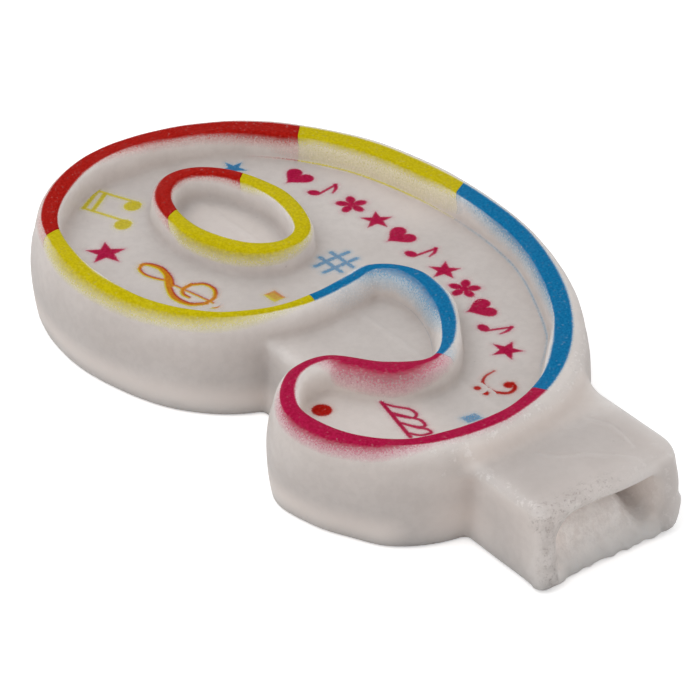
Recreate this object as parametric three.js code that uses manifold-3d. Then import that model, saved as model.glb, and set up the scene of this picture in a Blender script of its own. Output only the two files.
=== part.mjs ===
// Number candle: a cast wax numeral nine with raised ribs, printed in four inks.
//
// Units are millimetres. The candle lies on its flat back, as it is packed:
// +X runs to the numeral's right, +Y to its top, +Z out of its printed front.
// The origin lies on the flat back, under the middle of the numeral.

import * as THREE from "three";
import { mergeVertices } from "three/addons/utils/BufferGeometryUtils.js";
import Module from "manifold-3d";

const wasm = await Module();
wasm.setup();

// Heights above the flat back
const CREST_HEIGHT = 12.0; // top of the print on the ribs
const FLOOR_HEIGHT = 9.2; // recessed floor, and the webs that close the notch and the counter
const FILM = 0.2; // thickness of a printed layer
const CREST_WAX = CREST_HEIGHT - FILM;

// Ribs
const RIB_WIDTH = 2.1;
const COUNTER_RIB_WIDTH = 2.0;
const RIB_FOOT_FLARE = 0.3; // how much wider each side of a rib is at the floor
const OUTER_SHOULDER = 0.45; // rounding of a rib's outer edge
const INNER_SHOULDER = 0.2; // rounding of a rib's inner edge
const CORE_SHIFT = new THREE.Vector2(-0.5, -0.25); // the recess sits a little down and to the left

// Side wall: it swells to the mould's parting line and draws in again to the back
const PARTING_HEIGHT = 6.2;
const PARTING_SWELL = 1.05;
const FLOOR_SWELL = 0.6;
const BACK_SWELL = 0.3;

// Web that closes the notch between bowl and tail, from this X to the stem
const WEB_FRONT_X = -11.5;
const WEB_BACK_X = 6.0;
const WEB_TOP_Y = 3.5;
const WEB_BOTTOM_Y = -17.0;

// Plinth with the socket for a holder's plug
const PLINTH_WIDTH = 18.4;
const PLINTH_THICKNESS = 9.4;
const PLINTH_CENTRE_X = 0.1;
const PLINTH_MOUTH_Y = -40.0;
const PLINTH_ROOT_Y = -24.0;
const PLINTH_EDGE = 0.6; // rounding of the long edges
const MOUTH_EDGE = 0.4; // chamfer round the mouth
const PLINTH_RIGHT_ROUND = 1.0;
const SOCKET_WIDTH = 13.0;
const SOCKET_HEIGHT = 4.9;
const SOCKET_DEPTH = 12.0;
const SOCKET_ROUND = 2.0;

// Wick: it runs down the middle of the wax and stands out of the numeral's top
const WICK_DIAMETER = 1.6;
const WICK_X = -0.7;
const WICK_HEIGHT = 4.6;
const WICK_STUB = 5.0;
const WICK_CLEARANCE = 0.3;
const WICK_FOOT_WALL = 2.0; // wax between the wick's foot and the socket

// Outer edge of the ribs, clockwise from the numeral's top
const OUTLINE = [
  [-3.0, 38.9], [9.5, 35.5], [18.2, 26.1], [22.2, 13.3], [21.7, -3.3], [15.2, -17.9],
  [5.9, -26.7], [-4.3, -28.7], [-14.0, -26.2], [-19.6, -19.2], [-20.0, -12.8], [-15.5, -8.1],
  [-10.7, -8.0], [-6.4, -12.6], [-2.0, -14.6], [2.2, -11.0], [4.8, -4.8], [4.6, -0.8],
  [3.2, 0.9], [0.6, 0.7], [-6.9, 0.6], [-14.5, 3.8], [-19.7, 11.0], [-21.4, 20.6],
  [-18.6, 30.8], [-11.3, 36.9],
];

// Inner edge of the counter's rib, clockwise from its top
const COUNTER = [
  [-1.4, 27.8], [1.9, 25.8], [3.7, 20.6], [3.1, 15.8], [1.5, 12.9],
  [-0.9, 12.2], [-3.2, 13.5], [-5.2, 16.9], [-6.0, 21.2], [-4.5, 25.7],
];

// Points on the ribs where one ink gives way to the next
const INK_ENDS = {
  topLeft: [-20.3, 28.5],
  topRight: [16.2, 29.1],
  right: [22.2, 9.0],
  bottom: [2.8, -27.6],
  notch: [-1.7, -14.8],
  underBowl: [-5.3, 0.8],
};
const COUNTER_INK_ENDS = { left: [-5.6, 23.4], right: [3.0, 24.6] };

// Motifs on the recessed floor: knots of their pen strokes, ends of their bars, centres of their dots
const NOTE_LINE = 0.36;
const NOTE_HEAD = [1.08, 0.92];
const NOTE_HEAD_TURN = 0.35;
const NOTE_HEADS = [[-9.75, 28.2], [-6.65, 30.7]];
const NOTE_STEMS = [[[-9.0, 28.3], [-11.2, 33.4]], [[-5.8, 30.9], [-7.8, 35.4]]];
const NOTE_BEAMS = [[[-11.3, 33.2], [-7.7, 35.3]], [[-10.8, 32.2], [-7.3, 34.3]]];
const NOTE_BEAM_WIDTH = 0.54;
const STAR = { x: -14.6, y: 24.6, radius: 2.2 };
const CLEF_STROKES = [
  [[[-12.9, 15.4], [-12.1, 16.8], [-11.75, 18.6], [-12.3, 20.0], [-13.0, 20.4]], [0.7, 0.45, 0.4]],
  [[[-12.7, 20.4], [-13.6, 19.9], [-13.8, 18.7], [-13.3, 17.3], [-12.4, 15.9]], [0.4, 0.4, 0.45]],
  [[[-12.2, 16.9], [-13.4, 14.9], [-14.0, 13.0], [-13.5, 11.1], [-12.0, 10.2]], [0.4, 0.75, 0.4]],
  [[[-12.5, 10.3], [-10.8, 10.5], [-9.75, 11.8], [-9.95, 13.3], [-11.2, 14.1]], [0.4, 0.5, 0.5]],
  [[[-11.0, 14.1], [-12.2, 13.9], [-12.9, 13.1], [-12.8, 12.2]], [0.5, 0.5, 0.4]],
];
const CLEF_STEM = [[-12.75, 15.8], [-11.4, 9.9]];
const CLEF_STEM_WIDTH = 0.42;
const CLEF_DOT = { x: -11.7, y: 9.2, radiusX: 0.5, radiusY: 0.35 };
const CONFETTI_ORANGE = { x: -5.45, y: 7.0, width: 1.5, height: 1.8 };
const CONFETTI_BLUE = { x: -3.5, y: -22.4, width: 1.7, height: 1.2 };
const CONFETTI_DOT = { x: -14.6, y: -12.6, radius: 1.05 };
const SHARP = { x: 3.85, y: 8.3, acrossHalf: 2.35, upHalf: 1.9, barHalfGap: 0.82, lineHalfGap: 0.8 };
const SHARP_LINE = 0.5;
const SMALL_STAR = { x: 6.9, y: 30.4, radius: 1.5 };
const BASS_STROKE = [
  [3.75, -17.75], [2.3, -18.0], [1.25, -19.0], [1.25, -20.5], [2.3, -21.65], [3.4, -21.4], [3.75, -20.6],
];
const BASS_WIDTHS = [0.2, 0.42, 0.5];
const BASS_HEAD = { x: 3.25, y: -20.6, radius: 0.55 };
const BASS_DOT_UPPER = { x: 0.35, y: -19.1, radius: 0.36 };
const BASS_DOT_LOWER = { x: 0.45, y: -20.3, radius: 0.36 };
const HAT_SIDE = [[-8.85, -14.7], [-10.5, -21.6]];
const HAT_SIDE_WIDTH = 0.47;
const HAT_LINE = 0.36;
const HAT_BANDS = [
  [[-8.95, -15.0], [-8.3, -16.6], [-7.5, -17.7], [-7.45, -18.8], [-8.2, -19.2], [-9.4, -17.6]],
  [[-9.3, -17.2], [-8.4, -18.9], [-7.85, -20.0], [-8.1, -21.0], [-8.9, -20.6], [-9.8, -18.9]],
  [[-9.8, -19.0], [-8.9, -20.8], [-8.35, -21.5], [-8.4, -22.3], [-9.5, -22.0], [-10.3, -20.9]],
];
// Arc down the stem that the row of small figures follows
const FIGURE_ARC = [
  [11.4, 24.6], [12.4, 17.6], [12.7, 10.0], [12.3, 2.6], [11.3, -4.2], [9.7, -10.2], [7.3, -15.6],
];
const FIGURE_SIZE = 1.75;

// Finishes
const WAX = { color: 0xe3dcd6, roughness: 0.45, metalness: 0 };
const COTTON = { color: 0xeee8da, roughness: 0.9, metalness: 0 };
const RED = { color: 0xb3160c, roughness: 0.55, metalness: 0 };
const YELLOW = { color: 0xc4b400, roughness: 0.55, metalness: 0 };
const BLUE = { color: 0x0b76ad, roughness: 0.55, metalness: 0 };
const MAGENTA = { color: 0xb41a4c, roughness: 0.55, metalness: 0 };
const ORANGE = { color: 0xc8791c, roughness: 0.55, metalness: 0 };

const candle = new THREE.Group();
candle.name = "number_candle";

// Solids

const WELD = 0.002; // corners of a solid closer than this become one

function toSolid(geometry) {
  geometry.deleteAttribute("normal");
  geometry.deleteAttribute("uv");
  const merged = mergeVertices(geometry, 1e-4);
  const mesh = new wasm.Mesh({
    numProp: 3,
    vertProperties: new Float32Array(merged.attributes.position.array),
    triVerts: new Uint32Array(merged.index.array),
  });
  return new wasm.Manifold(mesh);
}

function addPiece(name, solid, finish) {
  const { numProp, vertProperties, triVerts } = solid.simplify(WELD).getMesh();
  const corners = [];
  for (let i = 0; i < vertProperties.length; i += numProp) {
    corners.push(vertProperties[i], vertProperties[i + 1], vertProperties[i + 2]);
  }
  const geometry = new THREE.BufferGeometry();
  geometry.setAttribute("position", new THREE.Float32BufferAttribute(corners, 3));
  geometry.setIndex(Array.from(triVerts));
  geometry.computeVertexNormals();
  const mesh = new THREE.Mesh(geometry, new THREE.MeshStandardMaterial(finish));
  mesh.name = name;
  candle.add(mesh);
}

const unite = (solids) => solids.reduce((whole, piece) => whole.add(piece));

// Outlines, as closed lists of points that run clockwise

function smoothLoop(knots, count) {
  const path = new THREE.CatmullRomCurve3(knots.map(([x, y]) => new THREE.Vector3(x, y, 0)), true);
  return path.getSpacedPoints(count).slice(0, count).map((p) => new THREE.Vector2(p.x, p.y));
}

// Moves each point of a clockwise loop outwards by the distance
function grow(loop, distance) {
  return loop.map((point, i) => {
    const before = loop[(i + loop.length - 1) % loop.length];
    const after = loop[(i + 1) % loop.length];
    const along = after.clone().sub(before).normalize();
    return new THREE.Vector2(point.x - along.y * distance, point.y + along.x * distance);
  });
}

const shifted = (loop, offset) => loop.map((point) => point.clone().add(offset));

// Solid with one loop per level; a level is [height, growth of the loop]
function loft(loop, levels) {
  const count = loop.length;
  const rings = levels.map(([height, growth]) => grow(loop, growth).map((p) => [p.x, p.y, height]));
  const positions = rings.flat(2);
  const indices = [];
  for (let level = 0; level < rings.length - 1; level += 1) {
    for (let i = 0; i < count; i += 1) {
      const a = level * count + i;
      const b = level * count + (i + 1) % count;
      indices.push(a, a + count, b, b, a + count, b + count);
    }
  }
  const cap = (level, up) => {
    const first = level * count;
    const contour = rings[level].map(([x, y]) => new THREE.Vector2(x, y));
    for (const [a, b, c] of THREE.ShapeUtils.triangulateShape(contour.reverse(), [])) {
      const [p, q, r] = [a, b, c].map((i) => first + count - 1 - i);
      indices.push(p, up ? q : r, up ? r : q);
    }
  };
  cap(0, false);
  cap(rings.length - 1, true);
  const geometry = new THREE.BufferGeometry();
  geometry.setAttribute("position", new THREE.Float32BufferAttribute(positions, 3));
  geometry.setIndex(indices);
  return geometry;
}

function plate(shape, bottom, thickness, curveSegments = 16) {
  const geometry = new THREE.ExtrudeGeometry(shape, { depth: thickness, bevelEnabled: false, curveSegments });
  return toSolid(geometry.translate(0, 0, bottom));
}

function block(x0, x1, y0, y1, z0, z1) {
  const geometry = new THREE.BoxGeometry(x1 - x0, y1 - y0, z1 - z0);
  return toSolid(geometry.translate((x0 + x1) / 2, (y0 + y1) / 2, (z0 + z1) / 2));
}

function roundedLoop(width, height, rounds) {
  const [x, y] = [width / 2, height / 2];
  const [topLeft, topRight, bottomRight, bottomLeft] = rounds;
  const shape = new THREE.Shape();
  shape.absarc(-x + topLeft, y - topLeft, topLeft, Math.PI, Math.PI / 2, true);
  shape.absarc(x - topRight, y - topRight, topRight, Math.PI / 2, 0, true);
  shape.absarc(x - bottomRight, -y + bottomRight, bottomRight, 0, -Math.PI / 2, true);
  shape.absarc(-x + bottomLeft, -y + bottomLeft, bottomLeft, -Math.PI / 2, -Math.PI, true);
  return shape.getPoints(6);
}

// Turns a loft that rises from height 0 so that it runs along -Y from fromY, with centreZ as its axis
function alongPlinth(loop, levels, fromY) {
  const geometry = loft(loop, levels).rotateX(Math.PI / 2);
  return toSolid(geometry.translate(PLINTH_CENTRE_X, fromY, PLINTH_THICKNESS / 2));
}

// Loops shared by the wax and the print

const LOOP_POINTS = 150;
const COUNTER_POINTS = 60;
const ribOuter = smoothLoop(OUTLINE, LOOP_POINTS);
const ribInner = shifted(grow(ribOuter, -RIB_WIDTH), CORE_SHIFT);
const counterInner = smoothLoop(COUNTER, COUNTER_POINTS);
const counterOuter = grow(counterInner, COUNTER_RIB_WIDTH);
const ABOVE = CREST_HEIGHT + 1;

const numeralTopY = Math.max(...ribOuter.map((p) => p.y));

// Wax body

function numeralBlank() {
  return toSolid(loft(ribOuter, [
    [0, BACK_SWELL],
    [PARTING_HEIGHT / 2, (BACK_SWELL + PARTING_SWELL) / 2 + 0.2],
    [PARTING_HEIGHT, PARTING_SWELL],
    [FLOOR_HEIGHT, FLOOR_SWELL],
    [CREST_WAX - OUTER_SHOULDER, 0.1],
    [CREST_WAX - OUTER_SHOULDER / 3, -OUTER_SHOULDER / 3],
    [CREST_WAX, -OUTER_SHOULDER],
  ]));
}

function recess(loop) {
  return toSolid(loft(loop, [
    [FLOOR_HEIGHT, -RIB_FOOT_FLARE],
    [CREST_WAX - INNER_SHOULDER, 0],
    [CREST_WAX, INNER_SHOULDER],
    [ABOVE, INNER_SHOULDER],
  ]));
}

function counterIsland() {
  return toSolid(loft(counterOuter, [
    [FLOOR_HEIGHT - 1, RIB_FOOT_FLARE],
    [FLOOR_HEIGHT, RIB_FOOT_FLARE],
    [CREST_WAX - INNER_SHOULDER, 0],
    [CREST_WAX, -INNER_SHOULDER],
    [ABOVE + 1, -INNER_SHOULDER],
  ]));
}

function wickBar(radius, fromY, toY) {
  const geometry = new THREE.CylinderGeometry(radius, radius, toY - fromY, 16);
  return toSolid(geometry.translate(WICK_X, (fromY + toY) / 2, WICK_HEIGHT));
}

const socketEndY = PLINTH_MOUTH_Y + SOCKET_DEPTH;
const wickFootY = socketEndY + WICK_FOOT_WALL;
const wickTipY = numeralTopY + WICK_STUB;

function waxBody() {
  const web = block(WEB_FRONT_X, WEB_BACK_X, WEB_BOTTOM_Y, WEB_TOP_Y, 0, FLOOR_HEIGHT);
  const plinthRounds = [PLINTH_EDGE, PLINTH_RIGHT_ROUND, PLINTH_EDGE, PLINTH_EDGE];
  const plinthLength = PLINTH_ROOT_Y - PLINTH_MOUTH_Y;
  const plinth = alongPlinth(roundedLoop(PLINTH_WIDTH, PLINTH_THICKNESS, plinthRounds), [
    [0, 0],
    [plinthLength - MOUTH_EDGE, 0],
    [plinthLength - MOUTH_EDGE * 0.3, -MOUTH_EDGE * 0.3],
    [plinthLength, -MOUTH_EDGE],
  ], PLINTH_ROOT_Y);
  const socketLoop = roundedLoop(SOCKET_WIDTH, SOCKET_HEIGHT, Array(4).fill(SOCKET_ROUND));
  const socket = alongPlinth(socketLoop, [[0, 0], [SOCKET_DEPTH + 1, 0]], socketEndY);
  const bore = wickBar(
    WICK_DIAMETER / 2 + WICK_CLEARANCE, wickFootY - WICK_CLEARANCE, numeralTopY + PARTING_SWELL + 1,
  );
  const channel = recess(ribInner).subtract(counterIsland());
  return numeralBlank()
    .add(web)
    .add(plinth)
    .subtract(channel)
    .subtract(recess(counterInner))
    .subtract(socket)
    .subtract(bore);
}

addPiece("wax_body", waxBody(), WAX);
addPiece("wick", wickBar(WICK_DIAMETER / 2, wickFootY, wickTipY), COTTON);

// Print on the ribs: flat strips between two loops that share their numbering

function nearest(loop, [x, y]) {
  const target = new THREE.Vector2(x, y);
  const distances = loop.map((point) => point.distanceTo(target));
  return distances.indexOf(Math.min(...distances));
}

function strip(outer, inner, start, end) {
  const count = (end - start + outer.length) % outer.length;
  const steps = Array.from({ length: count + 1 }, (_, i) => (start + i) % outer.length);
  const edge = steps.map((i) => outer[i]);
  const back = steps.reverse().map((i) => inner[i]);
  return plate(new THREE.Shape([...edge, ...back]), CREST_WAX, FILM);
}

function inkRun(loops, names) {
  const [outer, inner, ends] = loops;
  names.forEach(([name, finish], i) => {
    const start = nearest(outer, ends[i]);
    const end = nearest(outer, ends[(i + 1) % ends.length]);
    addPiece(name, strip(outer, inner, start, end), finish);
  });
}

const PRINT_MARGIN = 0.03;
inkRun(
  [
    grow(ribOuter, -OUTER_SHOULDER - PRINT_MARGIN),
    grow(ribInner, INNER_SHOULDER + PRINT_MARGIN),
    [INK_ENDS.topLeft, INK_ENDS.topRight, INK_ENDS.right, INK_ENDS.bottom, INK_ENDS.notch, INK_ENDS.underBowl],
  ],
  [
    ["rim_print_red", RED],
    ["rim_print_yellow_right", YELLOW],
    ["rim_print_blue_right", BLUE],
    ["rim_print_magenta", MAGENTA],
    ["rim_print_blue_notch", BLUE],
    ["rim_print_yellow_left", YELLOW],
  ],
);
inkRun(
  [
    grow(counterOuter, -INNER_SHOULDER - PRINT_MARGIN),
    grow(counterInner, INNER_SHOULDER + PRINT_MARGIN),
    [COUNTER_INK_ENDS.left, COUNTER_INK_ENDS.right],
  ],
  [["counter_print_red", RED], ["counter_print_yellow", YELLOW]],
);

// Print on the floor

// Films are drawn on the ground plane, joined, and then lifted whole on to the floor
const film = (shape, segments) => plate(shape, 0, FILM, segments);

function addFloorPrint(name, films, finish) {
  addPiece(name, unite(films).translate([0, 0, FLOOR_HEIGHT]), finish);
}

function disc(x, y, radiusX, radiusY = radiusX, turn = 0) {
  const shape = new THREE.Shape();
  shape.absellipse(x, y, radiusX, radiusY, 0, Math.PI * 2, false, turn);
  return film(shape, 20);
}

function polygon(points) {
  return film(new THREE.Shape(points.map(([x, y]) => new THREE.Vector2(x, y))));
}

function bar([x0, y0], [x1, y1], width) {
  const half = new THREE.Vector2(x1 - x0, y1 - y0).setLength(width / 2);
  return polygon([
    [x0 - half.y, y0 + half.x], [x0 + half.y, y0 - half.x],
    [x1 + half.y, y1 - half.x], [x1 - half.y, y1 + half.x],
  ]);
}

// Pen stroke through the knots; its width goes from the first value over the second to the third
function stroke(knots, widths, steps = 24) {
  const [first, middle, last] = widths;
  const path = new THREE.SplineCurve(knots.map(([x, y]) => new THREE.Vector2(x, y)));
  const left = [];
  const right = [];
  for (let i = 0; i <= steps; i += 1) {
    const t = i / steps;
    const end = t < 0.5 ? first : last;
    const width = middle + (end - middle) * Math.abs(2 * t - 1);
    const point = path.getPoint(t);
    const side = path.getTangent(t).multiplyScalar(width / 2);
    left.push(new THREE.Vector2(point.x - side.y, point.y + side.x));
    right.push(new THREE.Vector2(point.x + side.y, point.y - side.x));
  }
  return film(new THREE.Shape([...left, ...right.reverse()]));
}

function star(x, y, radius, turn = Math.PI / 2, points = 5, waist = 0.42) {
  const corners = [];
  for (let i = 0; i < points * 2; i += 1) {
    const reach = i % 2 ? radius * waist : radius;
    const angle = turn + i * Math.PI / points;
    corners.push([x + reach * Math.cos(angle), y + reach * Math.sin(angle)]);
  }
  return polygon(corners);
}

function heart(x, y, size, turn) {
  const corners = [];
  for (let i = 0; i < 24; i += 1) {
    const t = i * Math.PI / 12;
    const across = Math.sin(t) ** 3;
    const up = (13 * Math.cos(t) - 5 * Math.cos(2 * t) - 2 * Math.cos(3 * t) - Math.cos(4 * t)) / 16;
    corners.push([
      x + size * (across * Math.cos(turn) - up * Math.sin(turn)),
      y + size * (across * Math.sin(turn) + up * Math.cos(turn)),
    ]);
  }
  return polygon(corners.reverse());
}

function quaver(x, y, size, turn) {
  const place = (u, v) => [
    x + size * (u * Math.cos(turn) - v * Math.sin(turn)),
    y + size * (u * Math.sin(turn) + v * Math.cos(turn)),
  ];
  const [headX, headY] = place(-0.3, -0.7);
  return unite([
    disc(headX, headY, size * 0.42, size * 0.32, turn + 0.4),
    bar(place(0.02, -0.7), place(0.02, 1.0), size * 0.2),
    stroke([place(0.0, 0.95), place(0.35, 0.6), place(0.55, 0.1)], [size * 0.3, size * 0.24, size * 0.12], 8),
  ]);
}

function flower(x, y, size, turn) {
  const petals = [];
  for (let i = 0; i < 5; i += 1) {
    const angle = turn + i * Math.PI * 0.4;
    const [cx, cy] = [x + size * 0.58 * Math.cos(angle), y + size * 0.58 * Math.sin(angle)];
    petals.push(disc(cx, cy, size * 0.44, size * 0.3, angle));
  }
  return unite([disc(x, y, size * 0.3), ...petals]);
}

// Two upright and two level bars, drawn as one outline round one square hole
function sharpSign({ x, y, acrossHalf, upHalf, barHalfGap, lineHalfGap }, half) {
  const [inX, outX] = [barHalfGap - half, barHalfGap + half];
  const [inY, outY] = [lineHalfGap - half, lineHalfGap + half];
  const corner = [
    [outX, inY], [acrossHalf, inY], [acrossHalf, outY], [outX, outY], [outX, upHalf], [inX, upHalf], [inX, outY],
  ];
  const sides = [[1, 1], [-1, 1], [-1, -1], [1, -1]];
  const outline = sides.flatMap(([sx, sy]) => {
    const part = corner.map(([u, v]) => new THREE.Vector2(x + sx * u, y + sy * v));
    return sx * sy > 0 ? part : part.reverse();
  });
  return film(new THREE.Shape(outline)).subtract(block(x - inX, x + inX, y - inY, y + inY, -FILM, 2 * FILM));
}

addFloorPrint("beamed_notes", [
  ...NOTE_HEADS.map(([x, y]) => disc(x, y, ...NOTE_HEAD, NOTE_HEAD_TURN)),
  ...NOTE_STEMS.map(([foot, top]) => bar(foot, top, NOTE_LINE)),
  ...NOTE_BEAMS.map(([start, end]) => bar(start, end, NOTE_BEAM_WIDTH)),
], YELLOW);
addFloorPrint("star", [star(STAR.x, STAR.y, STAR.radius, -1.52)], MAGENTA);
addFloorPrint("treble_clef", [
  ...CLEF_STROKES.map(([knots, widths]) => stroke(knots, widths, knots.length * 5)),
  bar(...CLEF_STEM, CLEF_STEM_WIDTH),
], ORANGE);
addFloorPrint("clef_dot", [disc(CLEF_DOT.x, CLEF_DOT.y, CLEF_DOT.radiusX, CLEF_DOT.radiusY, -0.4)], ORANGE);

function confetti({ x, y, width, height }, turn) {
  const half = new THREE.Vector2(width / 2, 0).rotateAround(new THREE.Vector2(), turn);
  return bar([x - half.x, y - half.y], [x + half.x, y + half.y], height);
}

addFloorPrint("confetti_orange", [confetti(CONFETTI_ORANGE, -0.05)], ORANGE);
addFloorPrint("confetti_blue", [confetti(CONFETTI_BLUE, -0.15)], BLUE);
addFloorPrint("confetti_dot", [disc(CONFETTI_DOT.x, CONFETTI_DOT.y, CONFETTI_DOT.radius)], RED);
addFloorPrint("sharp_sign", [sharpSign(SHARP, SHARP_LINE / 2)], BLUE);
addFloorPrint("small_star", [star(SMALL_STAR.x, SMALL_STAR.y, SMALL_STAR.radius, 0.3)], BLUE);

addFloorPrint("bass_clef", [
  stroke(BASS_STROKE, BASS_WIDTHS, 28),
  disc(BASS_HEAD.x, BASS_HEAD.y, BASS_HEAD.radius),
], RED);
addFloorPrint("bass_clef_dot_upper", [disc(BASS_DOT_UPPER.x, BASS_DOT_UPPER.y, BASS_DOT_UPPER.radius)], RED);
addFloorPrint("bass_clef_dot_lower", [disc(BASS_DOT_LOWER.x, BASS_DOT_LOWER.y, BASS_DOT_LOWER.radius)], RED);

addFloorPrint("party_hat", [
  bar(...HAT_SIDE, HAT_SIDE_WIDTH),
  ...HAT_BANDS.map((knots) => stroke(knots, [HAT_LINE, HAT_LINE, HAT_LINE], 20)),
], MAGENTA);

// Small figures, set square to their arc and named with their place along it
const FIGURES = [
  ["figure_heart_1", 0.0, heart],
  ["figure_note_1", 0.1, quaver],
  ["figure_flower_1", 0.2, flower],
  ["figure_star_1", 0.3, star],
  ["figure_heart_2", 0.4, heart],
  ["figure_note_2", 0.5, quaver],
  ["figure_star_2", 0.6, star],
  ["figure_flower_2", 0.7, flower],
  ["figure_heart_3", 0.8, heart],
  ["figure_note_3", 0.9, quaver],
  ["figure_star_3", 1.0, star],
];
const figureArc = new THREE.SplineCurve(FIGURE_ARC.map(([x, y]) => new THREE.Vector2(x, y)));
for (const [name, t, draw] of FIGURES) {
  const point = figureArc.getPointAt(t);
  const down = figureArc.getTangentAt(t);
  addFloorPrint(name, [draw(point.x, point.y, FIGURE_SIZE, Math.atan2(down.y, down.x))], MAGENTA);
}

export default candle;
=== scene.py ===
"""Number candle: a cast wax numeral nine with printed ribs and party motifs.

The wax is one smooth body, meshed from a formula for its shape. Each ink is a
thin skin that follows the wax, with its own mesh, so that it can be moved,
recoloured or left out. Lengths are in millimetres until a mesh is made.
"""

import logging
import math
from collections.abc import Callable, Sequence
from dataclasses import dataclass, field
from enum import Enum

import bpy
import numpy as np
from mathutils import Matrix, Vector

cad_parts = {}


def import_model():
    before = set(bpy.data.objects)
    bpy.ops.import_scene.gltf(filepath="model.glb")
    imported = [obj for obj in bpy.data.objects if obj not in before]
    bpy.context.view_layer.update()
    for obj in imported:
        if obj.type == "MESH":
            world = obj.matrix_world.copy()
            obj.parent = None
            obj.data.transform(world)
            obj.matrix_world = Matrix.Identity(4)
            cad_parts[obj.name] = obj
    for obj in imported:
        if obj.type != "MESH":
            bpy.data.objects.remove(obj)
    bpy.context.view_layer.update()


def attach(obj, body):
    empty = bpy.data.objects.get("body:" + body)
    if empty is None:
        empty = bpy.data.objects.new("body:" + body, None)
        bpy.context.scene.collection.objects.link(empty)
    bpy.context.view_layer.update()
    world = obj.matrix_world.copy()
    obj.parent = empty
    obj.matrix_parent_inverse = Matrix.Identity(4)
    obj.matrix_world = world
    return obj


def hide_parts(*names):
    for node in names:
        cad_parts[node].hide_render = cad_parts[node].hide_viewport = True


LOG = logging.getLogger("number_candle")
MM = 0.001

Array = np.ndarray
Field = Callable[[Array], Array]

# Outer edge of the ribs, clockwise from the numeral's top
OUTLINE = (
    (-3.0, 38.9), (9.5, 35.5), (18.2, 26.1), (22.2, 13.3), (21.7, -3.3), (15.2, -17.9),
    (5.9, -26.7), (-4.3, -28.7), (-14.0, -26.2), (-19.6, -19.2), (-20.0, -12.8), (-15.5, -8.1),
    (-10.7, -8.0), (-6.4, -12.6), (-2.0, -14.6), (2.2, -11.0), (4.8, -4.8), (4.6, -0.8),
    (3.2, 0.9), (0.6, 0.7), (-6.9, 0.6), (-14.5, 3.8), (-19.7, 11.0), (-21.4, 20.6),
    (-18.6, 30.8), (-11.3, 36.9),
)

# Inner edge of the counter's rib, clockwise from its top
COUNTER = (
    (-1.4, 27.8), (1.9, 25.8), (3.7, 20.6), (3.1, 15.8), (1.5, 12.9),
    (-0.9, 12.2), (-3.2, 13.5), (-5.2, 16.9), (-6.0, 21.2), (-4.5, 25.7),
)


class Ink(Enum):
    """The inks of the print: base colour as the eye sees it, in sRGB from 0 to 255."""

    RED = (156, 12, 4)
    YELLOW = (186, 171, 0)
    BLUE = (0, 102, 152)
    MAGENTA = (160, 8, 56)
    ORANGE = (184, 112, 14)


@dataclass(frozen=True)
class Levels:
    """Heights above the flat back and the sizes that shape a section of the wax.

    The web is a box: its lowest and highest X, then its lowest and highest Y. Each of the waves
    has a height, a length and a seed.
    """

    crest: float = 12.0
    floor: float = 9.15
    parting: float = 6.2
    parting_swell: float = 1.05
    back_swell: float = 0.3
    crest_swell: float = 0.2
    rib: float = 2.1
    rib_flare: float = 0.35
    counter_rib: float = 2.15
    core_shift: tuple[float, float] = (-0.5, -0.25)
    shoulder: float = 1.25
    shoulder_loss: float = 0.6
    fillet: float = 0.45
    foot: float = 7.0
    web: tuple[float, float, float, float] = (-11.5, 6.0, -17.0, 3.5)
    crease_x: float = -0.4
    crease_width: float = 0.28
    crease_height: float = 0.1
    waves: tuple[tuple[float, float, float], ...] = ((0.035, 17.0, 1.0), (0.012, 5.0, 2.0))


@dataclass(frozen=True)
class Plinth:
    """Sizes of the plinth and of the socket in its mouth.

    The socket widens over the flare's depth, and more sharply over the lip's. The ramp is the
    height of the rough wax in it.
    """

    centre_x: float = 0.3
    half_width: float = 9.4
    thickness: float = 9.4
    mouth_y: float = -40.25
    mouth_lean: float = 0.5
    lower_lip: float = 0.45
    slot_half_width: float = 6.6
    slot_half_height: float = 2.45
    slot_depth: float = 12.2
    slot_round: float = 2.2
    flare_depth: float = 6.5
    lip_depth: float = 1.6
    ramp: float = 3.1


def srgb(colour: Sequence[float]) -> tuple[float, float, float, float]:
    """Turns an sRGB colour from 0 to 255 into Blender's linear values.

    Args:
        colour: Red, green and blue, from 0 to 255.

    Returns:
        The linear colour with an alpha of 1.
    """
    parts = [c / 255 for c in colour]
    linear = [c / 12.92 if c <= 0.04045 else ((c + 0.055) / 1.055) ** 2.4 for c in parts]
    return (linear[0], linear[1], linear[2], 1.0)


def smooth_step(low: float, high: float, value: Array) -> Array:
    """Rises smoothly from 0 at low to 1 at high."""
    t = np.clip((value - low) / (high - low), 0.0, 1.0)
    return t * t * (3.0 - 2.0 * t)


def join(a: Array, b: Array, blend: float | Array) -> Array:
    """Union of two fields with a fillet of about the blend."""
    h = np.maximum(blend - np.abs(a - b), 0.0) / blend
    return np.minimum(a, b) - h * h * blend * 0.25


def meet(a: Array, b: Array, blend: float | Array) -> Array:
    """Intersection of two fields with an edge rounded by about the blend."""
    return -join(-a, -b, blend)


def local(x: Array, y: Array, cx: float, cy: float, reach: float) -> Array:
    """Share that is 1 round a place and fades out to 0 at its reach."""
    return 1 - smooth_step(reach * 0.3, reach, np.hypot(x - cx, y - cy))


def rounded(across: Array, up: Array, radius: float | Array) -> Array:
    """Field of a box's section with rounded corners, from the distances past the corners' middles."""
    outside = np.hypot(np.maximum(across, 0), np.maximum(up, 0))
    return np.minimum(np.maximum(across, up), 0) + outside - radius


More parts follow.
